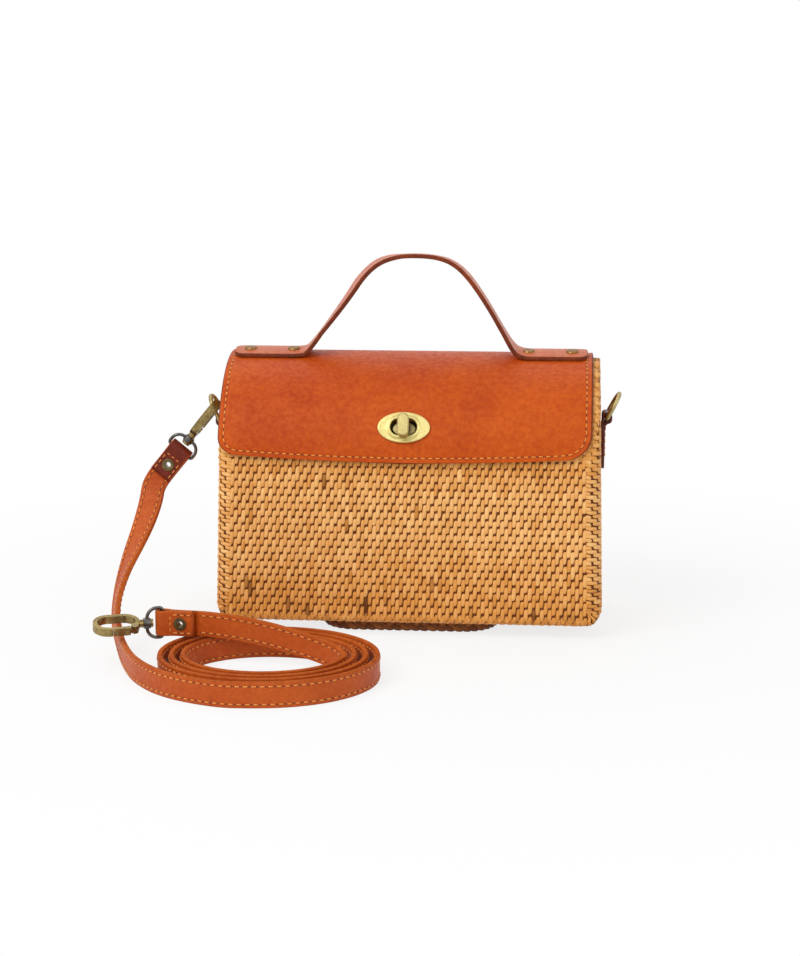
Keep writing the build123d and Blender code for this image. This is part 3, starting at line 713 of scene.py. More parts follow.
def sew(maker: MeshMaker, start: Array, end: Array, out: Array, thread: float = 0.34) -> None:
    """Add stitches that dip into the leather at both ends, each end on a dark disc of painted shade for its
    hole.

    Args:
        maker: the mesh to add to.
        start: where each stitch comes up.
        end: where it goes down.
        out: direction out of the leather.
        thread: the thread's half width.
    """
    tangent = unit(end - start)
    across = unit(np.cross(tangent, out))
    out = np.cross(across, tangent)
    flatness, hole_lift = 0.75, 0.04
    share = np.array([0.0, 0.16, 0.5, 0.84, 1.0])
    lift = np.array([-0.35, 0.1, 0.24, 0.1, -0.35])
    girth = np.array([0.55, 0.95, 1.0, 0.95, 0.55]) * thread
    turn = np.radians(np.arange(6) * 60.0)
    centre = (start[:, None] + (end - start)[:, None] * share[None, :, None]
              + out[:, None] * lift[None, :, None])
    round_out = out[:, None, None] * (np.cos(turn) * flatness)[None, None, :, None]
    round_across = across[:, None, None] * np.sin(turn)[None, None, :, None]
    maker.sheets(centre[:, :, None] + (round_out + round_across) * girth[None, :, None, None], closed=True,
                 capped=True)
    # Each hole is a flat dark disc of painted shade.
    wide = thread * np.array([0.3, 1.25])
    for place in (start, end):
        rim = (tangent[:, None, None] * (wide[:, None] * np.cos(turn))[None, ..., None]
               + across[:, None, None] * (wide[:, None] * np.sin(turn))[None, ..., None])
        maker.sheets((place + out * hole_lift)[:, None, None] + rim[:, ::-1], closed=True, slots=1)


@dataclass
class ShoulderStrap:
    """One leather strap: from the left ring down to the floor, three turns of coil, and the loose end."""

    width: float = STRAP_WIDTH
    thickness: float = 2.4
    seam_inset: float = 2.0
    stitch_pitch: float = 3.9
    stitch_length: float = 2.8
    ring_x: float = -101.4
    coil_from_ring: float = 39.8
    coil_mid_y: float = -119.0
    coil_half_length: float = 55.8
    coil_half_depth: float = 50.5
    coil_turn_in: float = 5.6
    coil_turns: float = 3.2
    coil_points_per_turn: int = 24
    fold_layer: float = 1.15
    fold_ease: float = 20.0
    real_length: float = 1205.0
    upper_end: tuple[tuple[float, float, float], ...] = ((-32.03, -6.44, 77.32), (-36.41, -6.76, 71.87))
    run_points: tuple[tuple[float, float, float], ...] = (
        (-36.6, -11.5, 64.0), (-38.6, -23.0, 53.0), (-41.6, -38.5, 42.0), (-44.1, -56.0, 30.5),
        (-43.6, -75.0, 18.5), (-37.6, -93.0, 9.2), (-30.6, -112.0, 6.25), (-20.1, -136.0, 6.25),
        (-2.6, -157.0, 6.25))
    before_coil: tuple[tuple[float, float, float], ...] = ((23.8, -169.72, 6.25),)
    after_coil: tuple[tuple[float, float, float], ...] = ((79.3, -116.83, 6.25),)
    end_points: tuple[tuple[float, float, float], ...] = (
        (70.4, -107.0, 8.6), (53.4, -101.5, 12.6), (34.4, -99.5, 17.0))
    lower_end: tuple[tuple[float, float, float], ...] = ((14.75, -98.31, 19.9), (0.82, -96.91, 19.9))
    upper_face: tuple[float, float, float] = (0.0, -1.0, 0.07)
    run_faces: tuple[tuple[float, float, float], ...] = (
        (-0.1, -1.0, 0.1), (-0.3, -0.95, 0.1), (-0.45, -0.85, 0.1), (-0.65, -0.7, 0.1), (-0.85, -0.45, 0.1),
        (-0.93, -0.36, 0.0), (-0.9, -0.45, 0.0), (-0.8, -0.6, 0.0), (-0.6, -0.8, 0.0))
    end_faces: tuple[tuple[float, float, float], ...] = (
        (0.6, 0.75, 0.0), (0.3, 0.95, 0.0), (0.15, 0.98, 0.0))
    lower_face: tuple[float, float, float] = (0.1, 0.99, 0.0)

    def route(self) -> tuple[Array, Array]:
        """Control points of the strap's line and the way that its outer face looks at each.

        Returns:
            Points and directions.
        """
        steps = round(self.coil_turns * self.coil_points_per_turn)
        turns = np.arange(steps + 1) / self.coil_points_per_turn
        angle = np.radians(360 * turns - 90)
        half_length = self.coil_half_length - self.coil_turn_in * turns
        half_depth = self.coil_half_depth - self.coil_turn_in * turns
        coil = np.stack([self.coil_from_ring + half_length * np.cos(angle),
                         self.coil_mid_y + half_depth * np.sin(angle),
                         np.full_like(turns, self.width / 2)], axis=-1)
        outward = np.stack([np.cos(angle), np.sin(angle), np.zeros_like(angle)], axis=-1)
        points = np.concatenate([self.upper_end, self.run_points, self.before_coil, coil, self.after_coil,
                                 self.end_points, self.lower_end])
        faces = np.concatenate([[self.upper_face] * 2, self.run_faces, outward[:1], outward, outward[-1:],
                                self.end_faces, [self.lower_face] * 2])
        return points + [self.ring_x, 0, 0], unit(faces)

    def build(self) -> bpy.types.Object:
        """Make the strap and its seams.

        Returns:
            The strap.
        """
        control, faces = self.route()
        line = nurbs_line(control, per_run=6)
        knots, places = spline_places(len(control), len(line))
        face = unit(np.stack([np.interp(places, knots, faces[:, k]) for k in range(3)], axis=-1))
        # Near its folded ends the strap is one of two layers, so it moves aside by half its thickness.
        run = run_length(line)
        ease = np.clip(1 - np.stack([run, run[-1] - run]) / self.fold_ease, 0, 1)
        ease = ease * ease * (3 - 2 * ease) * self.fold_layer
        shifted = line + face * (ease[1] - ease[0])[:, None]
        ribbon = Ribbon(shifted, face, self.width, self.thickness)
        maker = MeshMaker("shoulder_strap")
        maker.sheets(ribbon.points()[None], closed=True, slots=ribbon.section()[1], capped=True)
        strap = seat(maker.build((STRAP_LEATHER, RAW_EDGE), weighted=True), Body.BASKET, Slot.COGNAC,
                     "strap_run", "strap_coil", "strap_end")
        seams = MeshMaker("strap_seams")
        for facing in (-1, 1):
            for side in (-1, 1):
                sew(seams, *ribbon.seam(self.seam_inset, side, facing, self.stitch_pitch, self.stitch_length))
        sewn = seat(seams.build((PALE_THREAD, HOLE_PAINTED_SHADE)), Body.BASKET, Slot.COGNAC)
        self.declare(line)
        return strap

    def declare(self, line: Array) -> None:
        """Log the length of the strap's line.

        Args:
            line: points along its middle, in millimetres.
        """
        LOG.info("strap line %.1f mm long", run_length(line)[-1])


@dataclass
class FoldedEnd:
    """End of the strap, doubled back round the bar of its loop and held by an eyelet."""

    name: str
    node: str
    finish: Finish
    bar: tuple[float, float, float]
    axis: tuple[float, float, float]
    lap: tuple[float, float, float]
    width: float = STRAP_WIDTH
    thickness: float = 2.25
    eyelet_from_bar: float = 9.5
    hole_radius: float = 2.0
    bore_depth: float = 8.0
    edge_spots: tuple[float, float, float] = (-15.2, -6.5, 3.4)
    edge_stitch: float = 2.5
    edge_inset: float = 1.7
    edge_lift: float = 0.0225
    cross_spots: tuple[float, float, float] = (-4.4, 3.0, 3.0)
    cross_stitch: float = 2.3
    cross_from_bar: float = 4.6
    cross_lift: float = 0.12
    outline: tuple[tuple[float, float], ...] = (
        (-16.2, -1.15), (-10.0, -1.15), (-5.0, -1.2), (-2.4, -2.3), (1.2, -2.75), (2.9, 0.0), (1.2, 2.75),
        (-2.4, 2.3), (-5.0, 1.2), (-10.0, 1.15), (-16.4, 1.15))

    def build(self) -> bpy.types.Object:
        """Make the folded end and its seams.

        Returns:
            The folded end.
        """
        bar, axis, lap = np.array(self.bar), unit(np.array(self.axis)), np.array(self.lap)
        lap = unit(lap - axis * (lap @ axis))
        flat = nurbs_line(np.array([(x, h, 0.0) for x, h in self.outline]), per_run=7)
        line = bar + flat[:, :1] * axis + flat[:, 1:2] * lap
        slope = unit(np.gradient(flat[:, :2], axis=0))
        face = slope[:, 1:] * axis - slope[:, :1] * lap
        ribbon = Ribbon(line, face, self.width, self.thickness)
        maker = MeshMaker(self.name)
        maker.sheets(ribbon.points()[None], closed=True, slots=ribbon.section()[1], capped=True)
        piece = maker.build((self.finish, RAW_EDGE), weighted=True)
        bore(piece, bar - axis * self.eyelet_from_bar, lap, self.hole_radius, self.bore_depth)
        seat(piece, Body.BASKET, Slot.COGNAC, self.node)
        seams = MeshMaker(f"{self.name}_seams")
        across = np.cross(axis, lap)
        for out in (-lap, lap):
            for side in (-across, across):
                edge = bar + out * (self.thickness + self.edge_lift)
                edge = edge + side * (self.width / 2 - self.edge_inset)
                sew(seams, *self.row(edge, axis, out, self.edge_spots, self.edge_stitch))
            beside_bar = bar + out * (self.thickness + self.cross_lift) - axis * self.cross_from_bar
            sew(seams, *self.row(beside_bar, across, out, self.cross_spots, self.cross_stitch))
        seat(seams.build((PALE_THREAD, HOLE_PAINTED_SHADE)), Body.BASKET, Slot.COGNAC)
        return piece

    @staticmethod
    def row(base: Array, way: Array, out: Array, spots: tuple[float, float, float],
            length: float) -> Stitches:
        """Place stitches in a straight row.

        Args:
            base: where the row is measured from.
            way: direction of the row.
            out: direction out of the leather.
            spots: first and last place of a stitch and the distance between two.
            length: length of a stitch.

        Returns:
            Starts, ends and the leather's direction at each stitch.
        """
        start = base + np.arange(*spots)[:, None] * way
        return start, start + way * length, np.repeat(out[None], len(start), axis=0)


def bore(piece: bpy.types.Object, centre: Array, direction: Array, radius: float, depth: float,
         stretch: float = 0.0, side: Array | None = None) -> None:
    """Cut a round or slot-shaped hole through a piece.

    Args:
        piece: the piece to cut.
        centre: middle of the hole.
        direction: the way through.
        radius: half its width.
        depth: half the cutter's length.
        stretch: half the distance between a slot's two round ends.
        side: the slot's long direction.
    """
    direction = unit(np.asarray(direction, float))
    askew = (0.31, 0.52, 0.8)
    first = np.asarray(side, float) if side is not None else unit(np.cross(direction, askew))
    second = np.cross(direction, first)
    turn = np.radians((np.arange(CUTTER_SIDES) + 0.5) * 360 / CUTTER_SIDES)
    ring = centre + (first * (np.cos(turn) * radius + np.sign(np.cos(turn)) * stretch)[:, None]
                     + second * (np.sin(turn) * radius)[:, None])
    maker = MeshMaker("cutter")
    maker.sheets(np.stack([ring - direction * depth, ring + direction * depth])[None], closed=True,
                 capped=True)
    cutter = maker.build(())
    cut = piece.modifiers.new("hole", "BOOLEAN")
    cut.operation, cut.solver, cut.object = "DIFFERENCE", "EXACT", cutter
    # Shading modifiers wait while the hole is cut, so that they stay modifiers.
    weighted = [m for m in piece.modifiers if m.type == "WEIGHTED_NORMAL"]
    for modifier in weighted:
        modifier.show_viewport = False
    graph = bpy.context.evaluated_depsgraph_get()
    carved = bpy.data.meshes.new_from_object(piece.evaluated_get(graph))
    piece.modifiers.remove(cut)
    for modifier in weighted:
        modifier.show_viewport = True
    old = piece.data
    piece.data = carved
    carved.name = piece.name
    bpy.data.meshes.remove(old)
    bpy.data.objects.remove(cutter)


@dataclass(frozen=True)
class Splint:
    """Shape of one splint, and how far splints differ from each other."""

    width: float = 2.12
    slant: float = 0.85
    wave: float = 0.1
    taper: float = 0.16
    end_gap: float = 0.3
    end_height: float = 0.3
    fullness: float = 3.6
    crown: float = 0.86
    sink_share: float = 0.64
    end_play: float = 0.14
    width_play: float = 0.05
    side_play: float = 0.08
    height_play: float = 0.12
    end_shade: float = 0.3
    edge_shade: float = 0.16
    darkest: float = 0.02
    lengthwise: tuple[float, ...] = (0.0, 0.1, 0.3, 0.55, 0.8, 0.92, 1.0)
    crosswise: tuple[float, ...] = (-1.0, -0.62, 0.0, 0.62, 1.0)

    def spread(self, low: Array, high: Array, over: Array, loose: Array) -> tuple[Array, Array]:
        """Lay splints out on their panel.

        Args:
            low: lower ends.
            high: upper ends.
            over: places across the panel.
            loose: random differences, a row for each splint.

        Returns:
            Distances up the panel and places across it, for each point of each splint.
        """
        share, width = np.array(self.lengthwise), np.array(self.crosswise)
        low = low + self.end_gap + self.end_play * loose[:, 0]
        high = high - self.end_gap + self.end_play * loose[:, 1]
        up = low[:, None] + (high - low)[:, None] * share
        swing = self.slant * (share - 0.5) + self.wave * np.sin(2 * np.pi * share)
        narrow = 1 - self.taper * (2 * share - 1) ** 4
        wide = self.width / 2 * (1 + self.width_play * loose[:, 2])[:, None] * narrow
        middle = (over + self.side_play * loose[:, 3])[:, None] + swing
        out = middle[..., None] + wide[..., None] * width
        return np.broadcast_to(up[..., None], out.shape), out

    def heights(self, proud: Array, loose: Array) -> Array:
        """Arch splints over their courses, with their ends and edges sunk.

        Args:
            proud: how far each splint stands proud.
            loose: random differences, a row for each splint.

        Returns:
            Heights above the panel, for each point of each splint.
        """
        share, width = np.array(self.lengthwise), np.array(self.crosswise)
        bulge = 1 - np.abs(2 * share - 1) ** self.fullness
        dome = np.sqrt(np.maximum(1 - self.crown * width**2, 0))
        rise = (self.end_height + (1 - self.end_height) * bulge)[:, None] * dome
        arch = (1 + self.sink_share) * rise - self.sink_share
        return (proud * (1 + self.height_play * loose[:, 4]))[:, None, None] * arch

    def shades(self, tone: Array) -> Array:
        """Darken splints with painted shade towards their ends and edges, where they dip into the gaps.

        Args:
            tone: the tone of each splint.

        Returns:
            Tones of each point of each splint.
        """
        ends = self.end_shade * np.abs(2 * np.array(self.lengthwise) - 1) ** 8
        edges = self.edge_shade * np.abs(np.array(self.crosswise)) ** 3
        return np.clip(tone[:, None, None] - ends[:, None] - edges, self.darkest, 1)


@dataclass(frozen=True)
class SplintTones:
    """Tones of the splints: more golden and darker near the base, a painted shadow near the flap, and a few
    dark ones.
    """

    even: float = 0.85
    golden: float = 0.28
    golden_below: float = 48.0
    golden_reach: float = 36.0
    golden_curve: float = 1.5
    covered: float = 0.15
    flap_shadow_above: float = 74.0
    flap_shadow_reach: float = 16.0
    play: float = 0.07
    drift: float = 0.06
    row: float = 0.05
    row_turn: float = 2.4
    dark: float = 0.4
    dark_share: float = 0.012

    def draw(self, centre: Array, course: float, loose: Array, rng: np.random.Generator) -> Array:
        """Give each splint its tone.

        Args:
            centre: middle points of the splints.
            course: height of a course.
            loose: random differences, a row for each splint.
            rng: draws the dark ones.

        Returns:
            Tones.
        """
        x, z = centre[:, 0], centre[:, 2]
        drift = np.sin(x * 0.021 + 1.3) * np.sin(z * 0.11 + 0.6)
        rows = np.sin(np.round(z / course) * self.row_turn)
        dark = rng.random(len(centre)) < self.dark_share
        golden = np.clip((self.golden_below - z) / self.golden_reach, 0, 1) ** self.golden_curve
        # Painted shadow: splints darken upwards towards the flap.
        covered = np.clip((z - self.flap_shadow_above) / self.flap_shadow_reach, 0, 1)
        return (self.even - self.golden * golden - self.covered * covered + self.play * loose[:, 2]
                + self.drift * drift + self.row * rows - self.dark * dark)


@dataclass
class Basket:
    """The woven box: splints over coils on the front, the back and the band round sides and base."""

    half_width: float = 100.0
    side_lean: float = 3.0
    front_y: float = -39.5
    back_y: float = 40.5
    base_z: float = 7.0
    front_lean: float = 0.0411
    arch_y: float = ARCH_Y
    arch_z: float = ARCH_Z
    arch_radius: float = 53.3
    arch_start: float = 89.65
    back_top: float = 132.6
    rim_z: float = 122.4
    top_z: float = TOP_Z
    band_below_top: float = 3.1
    lid_left: float = LID_X - LID_WIDTH / 2
    lid_right: float = LID_X + LID_WIDTH / 2
    lid_margin: float = 1.0
    lid_edge_z: float = 88.0
    lid_edge_reach: float = 5.0
    flap_low_z: float = 90.0
    strip_low_z: float = 97.0
    corner: float = 8.0
    lower_corner: float = 9.0
    base_edge: float = 4.0
    corner_fill: float = 4.0
    shoulder_z: tuple[float, float, float] = (86.0, 103.0, 118.0)
    shoulder_radii: tuple[float, float] = (3.2, 1.2)
    course: float = COURSE
    pitch: float = SPLINT_PITCH
    shortest_share: float = 0.6
    crest: float = 0.62
    covered_crest: float = 0.2
    lock_x: float = LID_X
    lock_z: float = 107.4
    lock_half_length: float = 16.5
    lock_half_height: float = 9.4
    lock_course_share: float = 0.92
    left_tab_low: float = 78.0
    right_tab_low: float = 82.0
    tab_height: float = 33.0
    tab_y: float = TAB_Y
    tab_half_width: float = 6.5
    side_from: float = 80.0
    splint: Splint = Splint()
    tones: SplintTones = SplintTones()
    seed: int = 7
    rng: np.random.Generator = field(init=False)

    def __post_init__(self) -> None:
        """Seed the small differences between splints."""
        self.rng = np.random.default_rng(self.seed)

    def half(self, z: Array) -> Array:
        """Half width of the box at a height."""
        return self.half_width - self.side_lean * (z - self.base_z) / (self.top_z - self.base_z)

    def front(self, z: Array) -> Array:
        """Find the depth of the front, leaning below and arched above.

        Args:
            z: heights.

        Returns:
            Depths.
        """
        reach = np.sqrt(np.maximum(self.arch_radius**2 - (z - self.arch_z) ** 2, 0))
        leaning = self.front_y + self.front_lean * (z - self.base_z)
        return np.where(z < self.arch_start, leaning, self.arch_y - reach)

    def back(self, z: Array) -> Array:
        """Find the depth of the back, upright below and arched above.

        Args:
            z: heights.

        Returns:
            Depths.
        """
        above = np.maximum(z - self.arch_z, 0)
        reach = np.sqrt(np.maximum(self.arch_radius**2 - above**2, 0))
        return np.minimum(self.back_y, self.arch_y + reach)

    def edge(self, inward: int) -> Array:
        """Draw the rounded edge under the front or the back.

        Args:
            inward: one for the front, minus one for the back.

        Returns:
            Depths and heights.
        """
        turn = np.radians(np.linspace(90, 0, 9))
        face = self.front_y if inward > 0 else self.back_y
        return np.stack([face + inward * self.base_edge * (1 - np.cos(turn)),
                         self.base_z + self.base_edge * (1 - np.sin(turn))], axis=-1)

    def front_line(self) -> Array:
        """Outline of the front from under its lower edge to the rim."""
        heights = np.linspace(self.base_z + self.base_edge, self.rim_z, 160)
        return np.concatenate([self.edge(1)[:-1], np.stack([self.front(heights), heights], axis=-1)])

    def back_line(self) -> Array:
        """Outline of the back from under its lower edge to its top."""
        heights = np.linspace(self.base_z + self.base_edge, self.back_top, 60)
        return np.concatenate([self.edge(-1)[:-1], np.stack([self.back(heights), heights], axis=-1)])

    def panel(self, outline: Array, facing: int) -> Place:
        """Make the map of the front or back panel.

        Args:
            outline: the panel's outline as depth and height.
            facing: minus one for the front, one for the back.

        Returns:
            A function from distance up and place across to points.
        """
        run = run_length(outline)

        def place(up: Array, over: Array) -> Array:
            """Find points on the panel.

            Args:
                up: distances up the panel.
                over: places across it.

            Returns:
                Points.
            """
            y, z = np.interp(up, run, outline[:, 0]), np.interp(up, run, outline[:, 1])
            x = -facing * over * (self.half(z) - self.corner) / (self.half_width - self.corner)
            return np.stack([x, y, z], axis=-1)

        return place

    def band_line(self) -> Array:
        """Draw the band's outline from the right top, down, under the base and up the left.

        Returns:
            Places as x and z, and outward directions as x and z.
        """
        heights = np.linspace(self.top_z - self.band_below_top, self.base_z + self.lower_corner, 120)
        side = np.stack([self.half(heights), heights, np.ones_like(heights), np.zeros_like(heights)], axis=-1)
        turn = np.radians(np.linspace(0, 90, 14))[1:]
        pivot = self.half(np.array(self.base_z + self.lower_corner)) - self.lower_corner
        bend_x = pivot + self.lower_corner * np.cos(turn)
        bend_z = self.base_z + self.lower_corner * (1 - np.sin(turn))
        bend = np.stack([bend_x, bend_z, np.cos(turn), -np.sin(turn)], axis=-1)
        base = np.array([[0.0, self.base_z, 0.0, -1.0]])
        half = np.concatenate([side, bend])
        return np.concatenate([half, base, half[::-1] * [-1, 1, -1, 1]])

    def band(self) -> tuple[Place, float]:
        """Make the map of the band round the sides and the base.

        Returns:
            A function from distance across the band and along it to points, and the band's length.
        """
        line = self.band_line()
        run = run_length(line[:, :2])

        def place(over: Array, at: Array) -> Array:
            """Find points on the band.

            Args:
                over: distances across the band, from the front's border to the back's.
                at: distances along it.

            Returns:
                Points.
            """
            x, z, out_x, out_z = [np.interp(at, run, line[:, k]) for k in range(4)]
            radius, flat = self.band_corner(z, np.abs(out_z))
            front, back = self.front(np.maximum(z, self.base_z)), self.back(z)
            # Across, the band lies flat on the front, turns, runs back, turns and lies flat on the back.
            arc = radius * np.pi / 2
            straight = np.maximum(back - front - 2 * radius, 0.1)
            past = over - flat
            near = np.clip(past, 0, arc) / radius
            middle = np.clip(past - arc, 0, straight)
            far = np.clip(past - arc - straight, 0, arc) / radius
            flats = np.clip(over, 0, flat) - np.clip(past - 2 * arc - straight, 0, flat) - flat
            depth = flats - radius + radius * np.sin(near) - radius * (1 - np.cos(far))
            y = front + radius * (1 - np.cos(near)) + middle + radius * np.sin(far)
            return np.stack([x + out_x * depth, y, z + out_z * depth], axis=-1)

        return place, run[-1]

    def band_corner(self, z: Array, under: Array) -> tuple[Array, Array]:
        """Find the radius of the band's long edges and the flat of its border on the front and the back.

        Args:
            z: heights.
            under: how far the band faces down, from nought to one.

        Returns:
            Radii, small under the base and near the top, and widths of the flat border.
        """
        sides = np.interp(z, self.shoulder_z, (self.corner, *self.shoulder_radii))
        # Part way round the lower corners the radius is drawn in, so that splints cover the core there.
        down = np.clip(under, 0, 1)
        radius = (sides + (self.base_edge - sides) * down) * (1 - self.corner_fill * down**4 * (1 - down**2))
        return radius, (self.corner - radius) * (1 - down**4)

    def band_width(self, at: Array) -> Array:
        """Measure across the band, from front to back.

        Args:
            at: distances along the band.

        Returns:
            Distances across it.
        """
        line = self.band_line()
        run = run_length(line[:, :2])
        z, out_z = np.interp(at, run, line[:, 1]), np.interp(at, run, line[:, 3])
        radius, flat = self.band_corner(z, np.abs(out_z))
        return self.back(z) - self.front(np.maximum(z, self.base_z)) - 2 * radius + np.pi * radius + 2 * flat

    def courses(self, columns: Array, reach: Array) -> tuple[Array, Array, Array]:
        """Set splints out in brick order, each over two courses.

        Args:
            columns: places of the columns.
            reach: length of each column.

        Returns:
            Lower ends, upper ends and columns of the splints.
        """
        starts, ends, middles = [], [], []
        for number, (column, length) in enumerate(zip(columns, reach)):
            first = np.arange(-1 - (number % 2), length / self.course, 2) * self.course
            low, high = np.maximum(first, 0.0), np.minimum(first + 2 * self.course, length)
            long_enough = high - low > self.shortest_share * self.course
            starts.append(low[long_enough])
            ends.append(high[long_enough])
            middles.append(np.full(long_enough.sum(), column))
        return np.concatenate(starts), np.concatenate(ends), np.concatenate(middles)

    def weave(self, maker: MeshMaker, place: Place, columns: Array, reach: Array, keep: Rule,
              crest: Rule) -> int:
        """Cover a panel with splints.

        Args:
            maker: the mesh to add to.
            place: the panel's map.
            columns: places of the columns.
            reach: length of each column.
            keep: says which splints, by their middle points, are there.
            crest: how far a splint stands proud, by its middle point.

        Returns:
            The number of splints.
        """
        low, high, over = self.courses(columns, reach)
        centre = place((low + high) / 2, over)
        kept = keep(centre)
        low, high, over, centre = low[kept], high[kept], over[kept], centre[kept]
        loose = self.rng.normal(0, 1, (len(low), SPLINT_DIFFERENCES))
        up, out = self.splint.spread(low, high, over, loose)
        base = place(up, out)
        step = 0.05
        normal = unit(np.cross(place(up, out + step) - base, place(up + step, out) - base))
        height = self.splint.heights(crest(centre), loose)
        tone = self.splint.shades(self.tones.draw(centre, self.course, loose, self.rng))
        maker.sheets(base + normal * height[..., None], tone=tone)
        return len(low)

    def build(self) -> None:
        """Make the splints of the front, the back and the band."""
        edge = self.half_width - self.corner
        over = np.arange(-edge, edge + 0.5, self.pitch)
        for name, outline, facing in (("front_weave", self.front_line(), -1),
                                      ("back_weave", self.back_line(), 1)):
            reach = np.full(len(over), run_length(outline)[-1])
            place = self.panel(outline, facing)
            maker = MeshMaker(name)
            count = self.weave(maker, place, over, reach, self.clear_of_lock, self.panel_crest)
            seat(maker.build((RATTAN,)), Body.BASKET, Slot.RATTAN)
            LOG.info("%s has %d splints", name, count)
        place, length = self.band()
        at = np.arange(1.0, length - 1.0, self.pitch)
        maker = MeshMaker("band_weave")
        self.weave(maker, place, at, self.band_width(at), self.clear_of_tabs, self.band_crest)
        seat(maker.build((RATTAN,)), Body.BASKET, Slot.RATTAN)

    def clear_of_lock(self, centre: Array) -> Array:
        """Find splints that don't lie where the lock is let into the front.

        Args:
            centre: middle points of the splints.

        Returns:
            True for each such splint.
        """
        near_end = np.maximum(np.abs(centre[:, 2] - self.lock_z) - self.lock_course_share * self.course, 0)
        beside = (centre[:, 0] - self.lock_x) / self.lock_half_length
        return (beside**2 + (near_end / self.lock_half_height) ** 2 > 1) | (centre[:, 1] > 0)

    def clear_of_tabs(self, centre: Array) -> Array:
        """Find splints that don't lie under the side tabs.

        Args:
            centre: middle points of the splints.

        Returns:
            True for each such splint.
        """
        x, y, z = centre.T
        low = np.where(x < 0, self.left_tab_low, self.right_tab_low)
        under = (np.abs(y - self.tab_y) < self.tab_half_width) & (z > low) & (z < low + self.tab_height)
        return ~(under & (np.abs(x) > self.side_from))

    def panel_crest(self, centre: Array) -> Array:
        """Find how proud splints stand on the panels: less where leather lies on them.

        Args:
            centre: middle points of the splints.

        Returns:
            Heights.
        """
        low = np.where(centre[:, 1] < 0, self.flap_low_z, self.strip_low_z)
        return np.where(centre[:, 2] > low, self.covered_crest, self.crest)

    def band_crest(self, centre: Array) -> Array:
        """Find how proud splints stand on the band: less under the lid's edge.

        Args:
            centre: middle points of the splints.

        Returns:
            Heights.
        """
        x, y, z = centre.T
        near = np.minimum(y - self.front(z), self.back(z) - y)
        between = (x > self.lid_left - self.lid_margin) & (x < self.lid_right + self.lid_margin)
        covered = (z > self.lid_edge_z) & (near < self.lid_edge_reach) & between
        return np.where(covered, self.covered_crest, self.crest)


@dataclass
class FootRing:
    """The plaited ring that the basket stands on."""

    half_length: float = 46.0
    half_depth: float = 30.0
    corner: float = 18.0
    mid_y: float = 0.5
    band: float = 8.0
    height: float = 7.0
    core_inset: float = 1.6
    core_low: float = 0.9
    core_shade_tone: float = 0.1
    plaits: int = 20
    plait_inset: float = 1.9
    plait_z: float = 3.4
    sway: float = 0.6
    rise: float = 1.85
    strand: float = 1.8
    strand_sides: int = 7
    flatness: float = 0.9
    floor_gap: float = 0.02
    first_tone: float = 0.6
    tone_step: float = 0.14
    shade: float = 0.28

    def outline(self) -> Array:
        """Draw the ring's outer edge, closed.

        Returns:
            Places as x and y, and outward directions as x and y.
        """
        quarters = []
        for quarter, (sx, sy) in enumerate(((1, 1), (-1, 1), (-1, -1), (1, -1))):
            turn = np.radians(90 * quarter + np.linspace(0, 90, 13))
            out = np.stack([np.cos(turn), np.sin(turn)], axis=-1)
            x = sx * (self.half_length - self.corner)
            y = self.mid_y + sy * (self.half_depth - self.corner)
            quarters.append(np.concatenate([np.array([x, y]) + self.corner * out, out], axis=-1))
        ring = np.concatenate(quarters)
        return np.concatenate([ring, ring[:1]])

    def place(self, share: Array, inset: Array, z: Array) -> Array:
        """Find points in the ring.

        Args:
            share: share of the way round.
            inset: distance in from the outer edge.
            z: height.

        Returns:
            Points.
        """
        line = self.outline()
        run = run_length(line[:, :2])
        x, y, out_x, out_y = [np.interp(share * run[-1], run, line[:, k]) for k in range(4)]
        return np.stack([x - inset * out_x, y - inset * out_y, z], axis=-1)

    def build(self) -> bpy.types.Object:
        """Make the core and a plait round its outside and its inside.

        Returns:
            The ring.
        """
        maker = MeshMaker("foot_plait")
        share = np.linspace(0, 1, 121)[:-1]
        outer, inner = self.core_inset, self.band - self.core_inset
        corners = ((outer, self.core_low), (outer, self.height), (inner, self.height), (inner, self.core_low))
        core = np.stack([self.place(share, np.full_like(share, inset), np.full_like(share, level))
                         for inset, level in corners])
        # The core shows only between the strands and is painted near the gap colour as shade.
        maker.sheets(np.concatenate([core, core[:1]])[None, ::-1], closed=True, tone=self.core_shade_tone)
        share = np.linspace(0, 1, self.plaits * 18 + 1)[:-1]
        for middle, sign in ((self.plait_inset, 1.0), (self.band - self.plait_inset, -1.0)):
            for strand in range(3):
                phase = 2 * np.pi * (self.plaits * share + strand / 3)
                inset = middle - sign * self.sway * np.sin(2 * phase)
                path = self.place(share, inset, self.plait_z + self.rise * np.sin(phase))
                self.tube(maker, path, self.first_tone + self.tone_step * strand)
        # The ring's rattan is painted dark as the shade under the basket.
        return seat(maker.build((DARK_RATTAN,)), Body.BASKET, Slot.DARK_RATTAN, "foot_ring")

    def tube(self, maker: MeshMaker, path: Array, tone: float) -> None:
        """Add one closed strand.

        Args:
            maker: the mesh to add to.
            path: points along the strand's middle.
            tone: the strand's tone.
        """
        tangent = unit(np.roll(path, -1, axis=0) - np.roll(path, 1, axis=0))
        side = unit(np.cross(tangent, (0.0, 0.0, 1.0)))
        up = np.cross(side, tangent)
        turn = np.radians(np.arange(self.strand_sides) * 360 / self.strand_sides)
        wide = side[:, None] * np.cos(turn)[:, None] * self.flatness
        high = up[:, None] * np.sin(turn)[:, None]
        ring = path[:, None] + self.strand * (wide + high)
        ring[..., 2] = np.maximum(ring[..., 2], self.floor_gap)
        closed = np.concatenate([ring, ring[:1]])
        # Painted shade darkens each strand towards its top and bottom, where it meets its neighbours.
        shade = tone - self.shade * (1 - np.abs(np.cos(turn)))
        maker.sheets(closed[None, ::-1], closed=True, tone=np.broadcast_to(shade, closed.shape[:2])[None])


